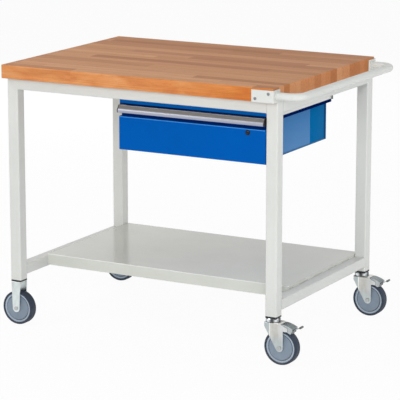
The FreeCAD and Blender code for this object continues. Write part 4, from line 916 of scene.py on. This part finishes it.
# Rolled edges of the drawer box
ROLL_RADIUS = 0.0016
ROLL_FRONT_GAP = 0.002
ROLL_REAR_GAP = 0.006
ROLL_SIDE_GAP = 0.004


def build_drawer_hems():
    """Folded-over top edges of the drawer box."""
    bm = bmesh.new()
    for node, inner in (("drawer_side_left", 1), ("drawer_side_right", -1)):
        low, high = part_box(node)
        x = (high.x if inner > 0 else low.x) + inner * ROLL_RADIUS
        front = Vector((x, low.y + ROLL_FRONT_GAP, high.z - ROLL_RADIUS))
        rear = Vector((x, high.y - ROLL_REAR_GAP, high.z - ROLL_RADIUS))
        rod(bm, front, rear, ROLL_RADIUS, ROD_SIDES)
    low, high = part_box("drawer_back")
    left = Vector((low.x + ROLL_SIDE_GAP, low.y - ROLL_RADIUS, high.z - ROLL_RADIUS))
    right = Vector((high.x - ROLL_SIDE_GAP, low.y - ROLL_RADIUS, high.z - ROLL_RADIUS))
    rod(bm, left, right, ROLL_RADIUS, ROD_SIDES)
    finished("drawer_hems", bm, "drawer", [FINISHES["blue_paint"]])


for corner in CORNERS:
    build_wheel(corner)
for corner in SWIVEL_CORNERS:
    build_pedal_tip(corner)
build_bracket_screws()
build_housing_edges()
build_housing_wrap()
build_welds()
build_drawer_hems()


# Floor, light and camera
WHITE = (1, 1, 1, 1)
PAPER_GREY = (0.93, 0.93, 0.93, 1)
PAPER_GLOW = 0.94
FLOOR_HALF = 14.0
FLOOR_DROP = 0.0004
FILL_TINT = (0.98, 0.99, 1.0, 1)
FILL_LIGHT = 0.46
BACKDROP_LIGHT = 1.0
IMAGE_WIDE = 400
LENS_PIXELS = 2185.0
SENSOR_WIDE = 36.0
EYE_SPOT = (3.4657, -6.2727, 2.0032)
EYE_DROP = 12.467
EYE_TURN = 28.845


def white_backdrop(tree):
    """One where a ray sees the backdrop: from the camera, in a reflection or through glass."""
    rays = place(tree, "LightPath").outputs
    seen = calc(tree, "MAXIMUM", rays["Is Camera Ray"], rays["Is Glossy Ray"])
    return calc(tree, "MAXIMUM", seen, rays["Is Transmission Ray"])


def blended(tree, share, first, second):
    return place(tree, "MixShader", {0: share, 1: first.outputs[0], 2: second.outputs[0]})


def pale_floor():
    """White paper that keeps a faint shadow. From below it is clear, so that the underside can be seen."""
    material = bpy.data.materials.new("pale_floor")
    material.use_nodes = True
    tree = material.node_tree
    tree.nodes.clear()
    paper = place(tree, "BsdfDiffuse", {"Color": PAPER_GREY})
    glow = place(tree, "Emission", {"Color": WHITE, "Strength": 1.0})
    above = blended(tree, times(tree, white_backdrop(tree), PAPER_GLOW), paper, glow)
    below = place(tree, "NewGeometry").outputs["Backfacing"]
    seen = blended(tree, below, above, place(tree, "BsdfTransparent"))
    place(tree, "OutputMaterial", {0: seen.outputs[0]})
    return material


def build_floor():
    bm = bmesh.new()
    bmesh.ops.create_grid(bm, x_segments=1, y_segments=1, size=FLOOR_HALF,
                          matrix=Matrix.Translation((0, 0, -FLOOR_DROP)))
    mesh = bpy.data.meshes.new("studio_floor")
    bm.to_mesh(mesh)
    bm.free()
    mesh.materials.append(pale_floor())
    floor = bpy.data.objects.new("studio_floor", mesh)
    bpy.context.scene.collection.objects.link(floor)


def build_world():
    world = bpy.data.worlds.new("studio")
    bpy.context.scene.world = world
    world.use_nodes = True
    tree = world.node_tree
    tree.nodes.clear()
    fill = place(tree, "Background", {0: FILL_TINT, 1: FILL_LIGHT})
    white = place(tree, "Background", {0: WHITE, 1: BACKDROP_LIGHT})
    seen = blended(tree, white_backdrop(tree), fill, white)
    place(tree, "OutputWorld", {0: seen.outputs[0]})


def soft_box(name, spot, aim, size, power, glare=True):
    """A lamp panel. Without glare it lights the bench but isn't mirrored in its smooth paint."""
    lamp = bpy.data.lights.new(name, "AREA")
    lamp.shape = "RECTANGLE"
    lamp.size, lamp.size_y = size
    lamp.energy = power
    light = bpy.data.objects.new(name, lamp)
    light.location = spot
    light.visible_glossy = glare
    light.rotation_euler = (Vector(aim) - Vector(spot)).to_track_quat("-Z", "Y").to_euler()
    bpy.context.scene.collection.objects.link(light)


def build_camera():
    camera = bpy.data.cameras.new("view")
    camera.sensor_width = SENSOR_WIDE
    camera.lens = LENS_PIXELS / IMAGE_WIDE * SENSOR_WIDE
    camera.clip_end = 60.0
    eye = bpy.data.objects.new("view", camera)
    eye.location = EYE_SPOT
    eye.rotation_euler = (math.radians(90 - EYE_DROP), 0, math.radians(EYE_TURN))
    bpy.context.scene.collection.objects.link(eye)
    bpy.context.scene.camera = eye


build_floor()
build_world()
soft_box("key", spot=(3.1, -7.3, 2.6), aim=(0, 0, 0.5), size=(3.64, 2.8), power=356, glare=False)
soft_box("side", spot=(4.0, 0.8, 0.85), aim=(0.4, 0, 0.3), size=(2.4, 1.6), power=34, glare=False)
soft_box("overhead", spot=(-1.7, -1.3, 3.2), aim=(0.1, -0.1, 0.6), size=(1.4, 1.4), power=18)
soft_box("back", spot=(-3.4, 3.8, 1.6), aim=(0, 0, 0.4), size=(2.4, 2.0), power=55, glare=False)
build_camera()
bpy.context.scene.view_settings.view_transform = "Standard"
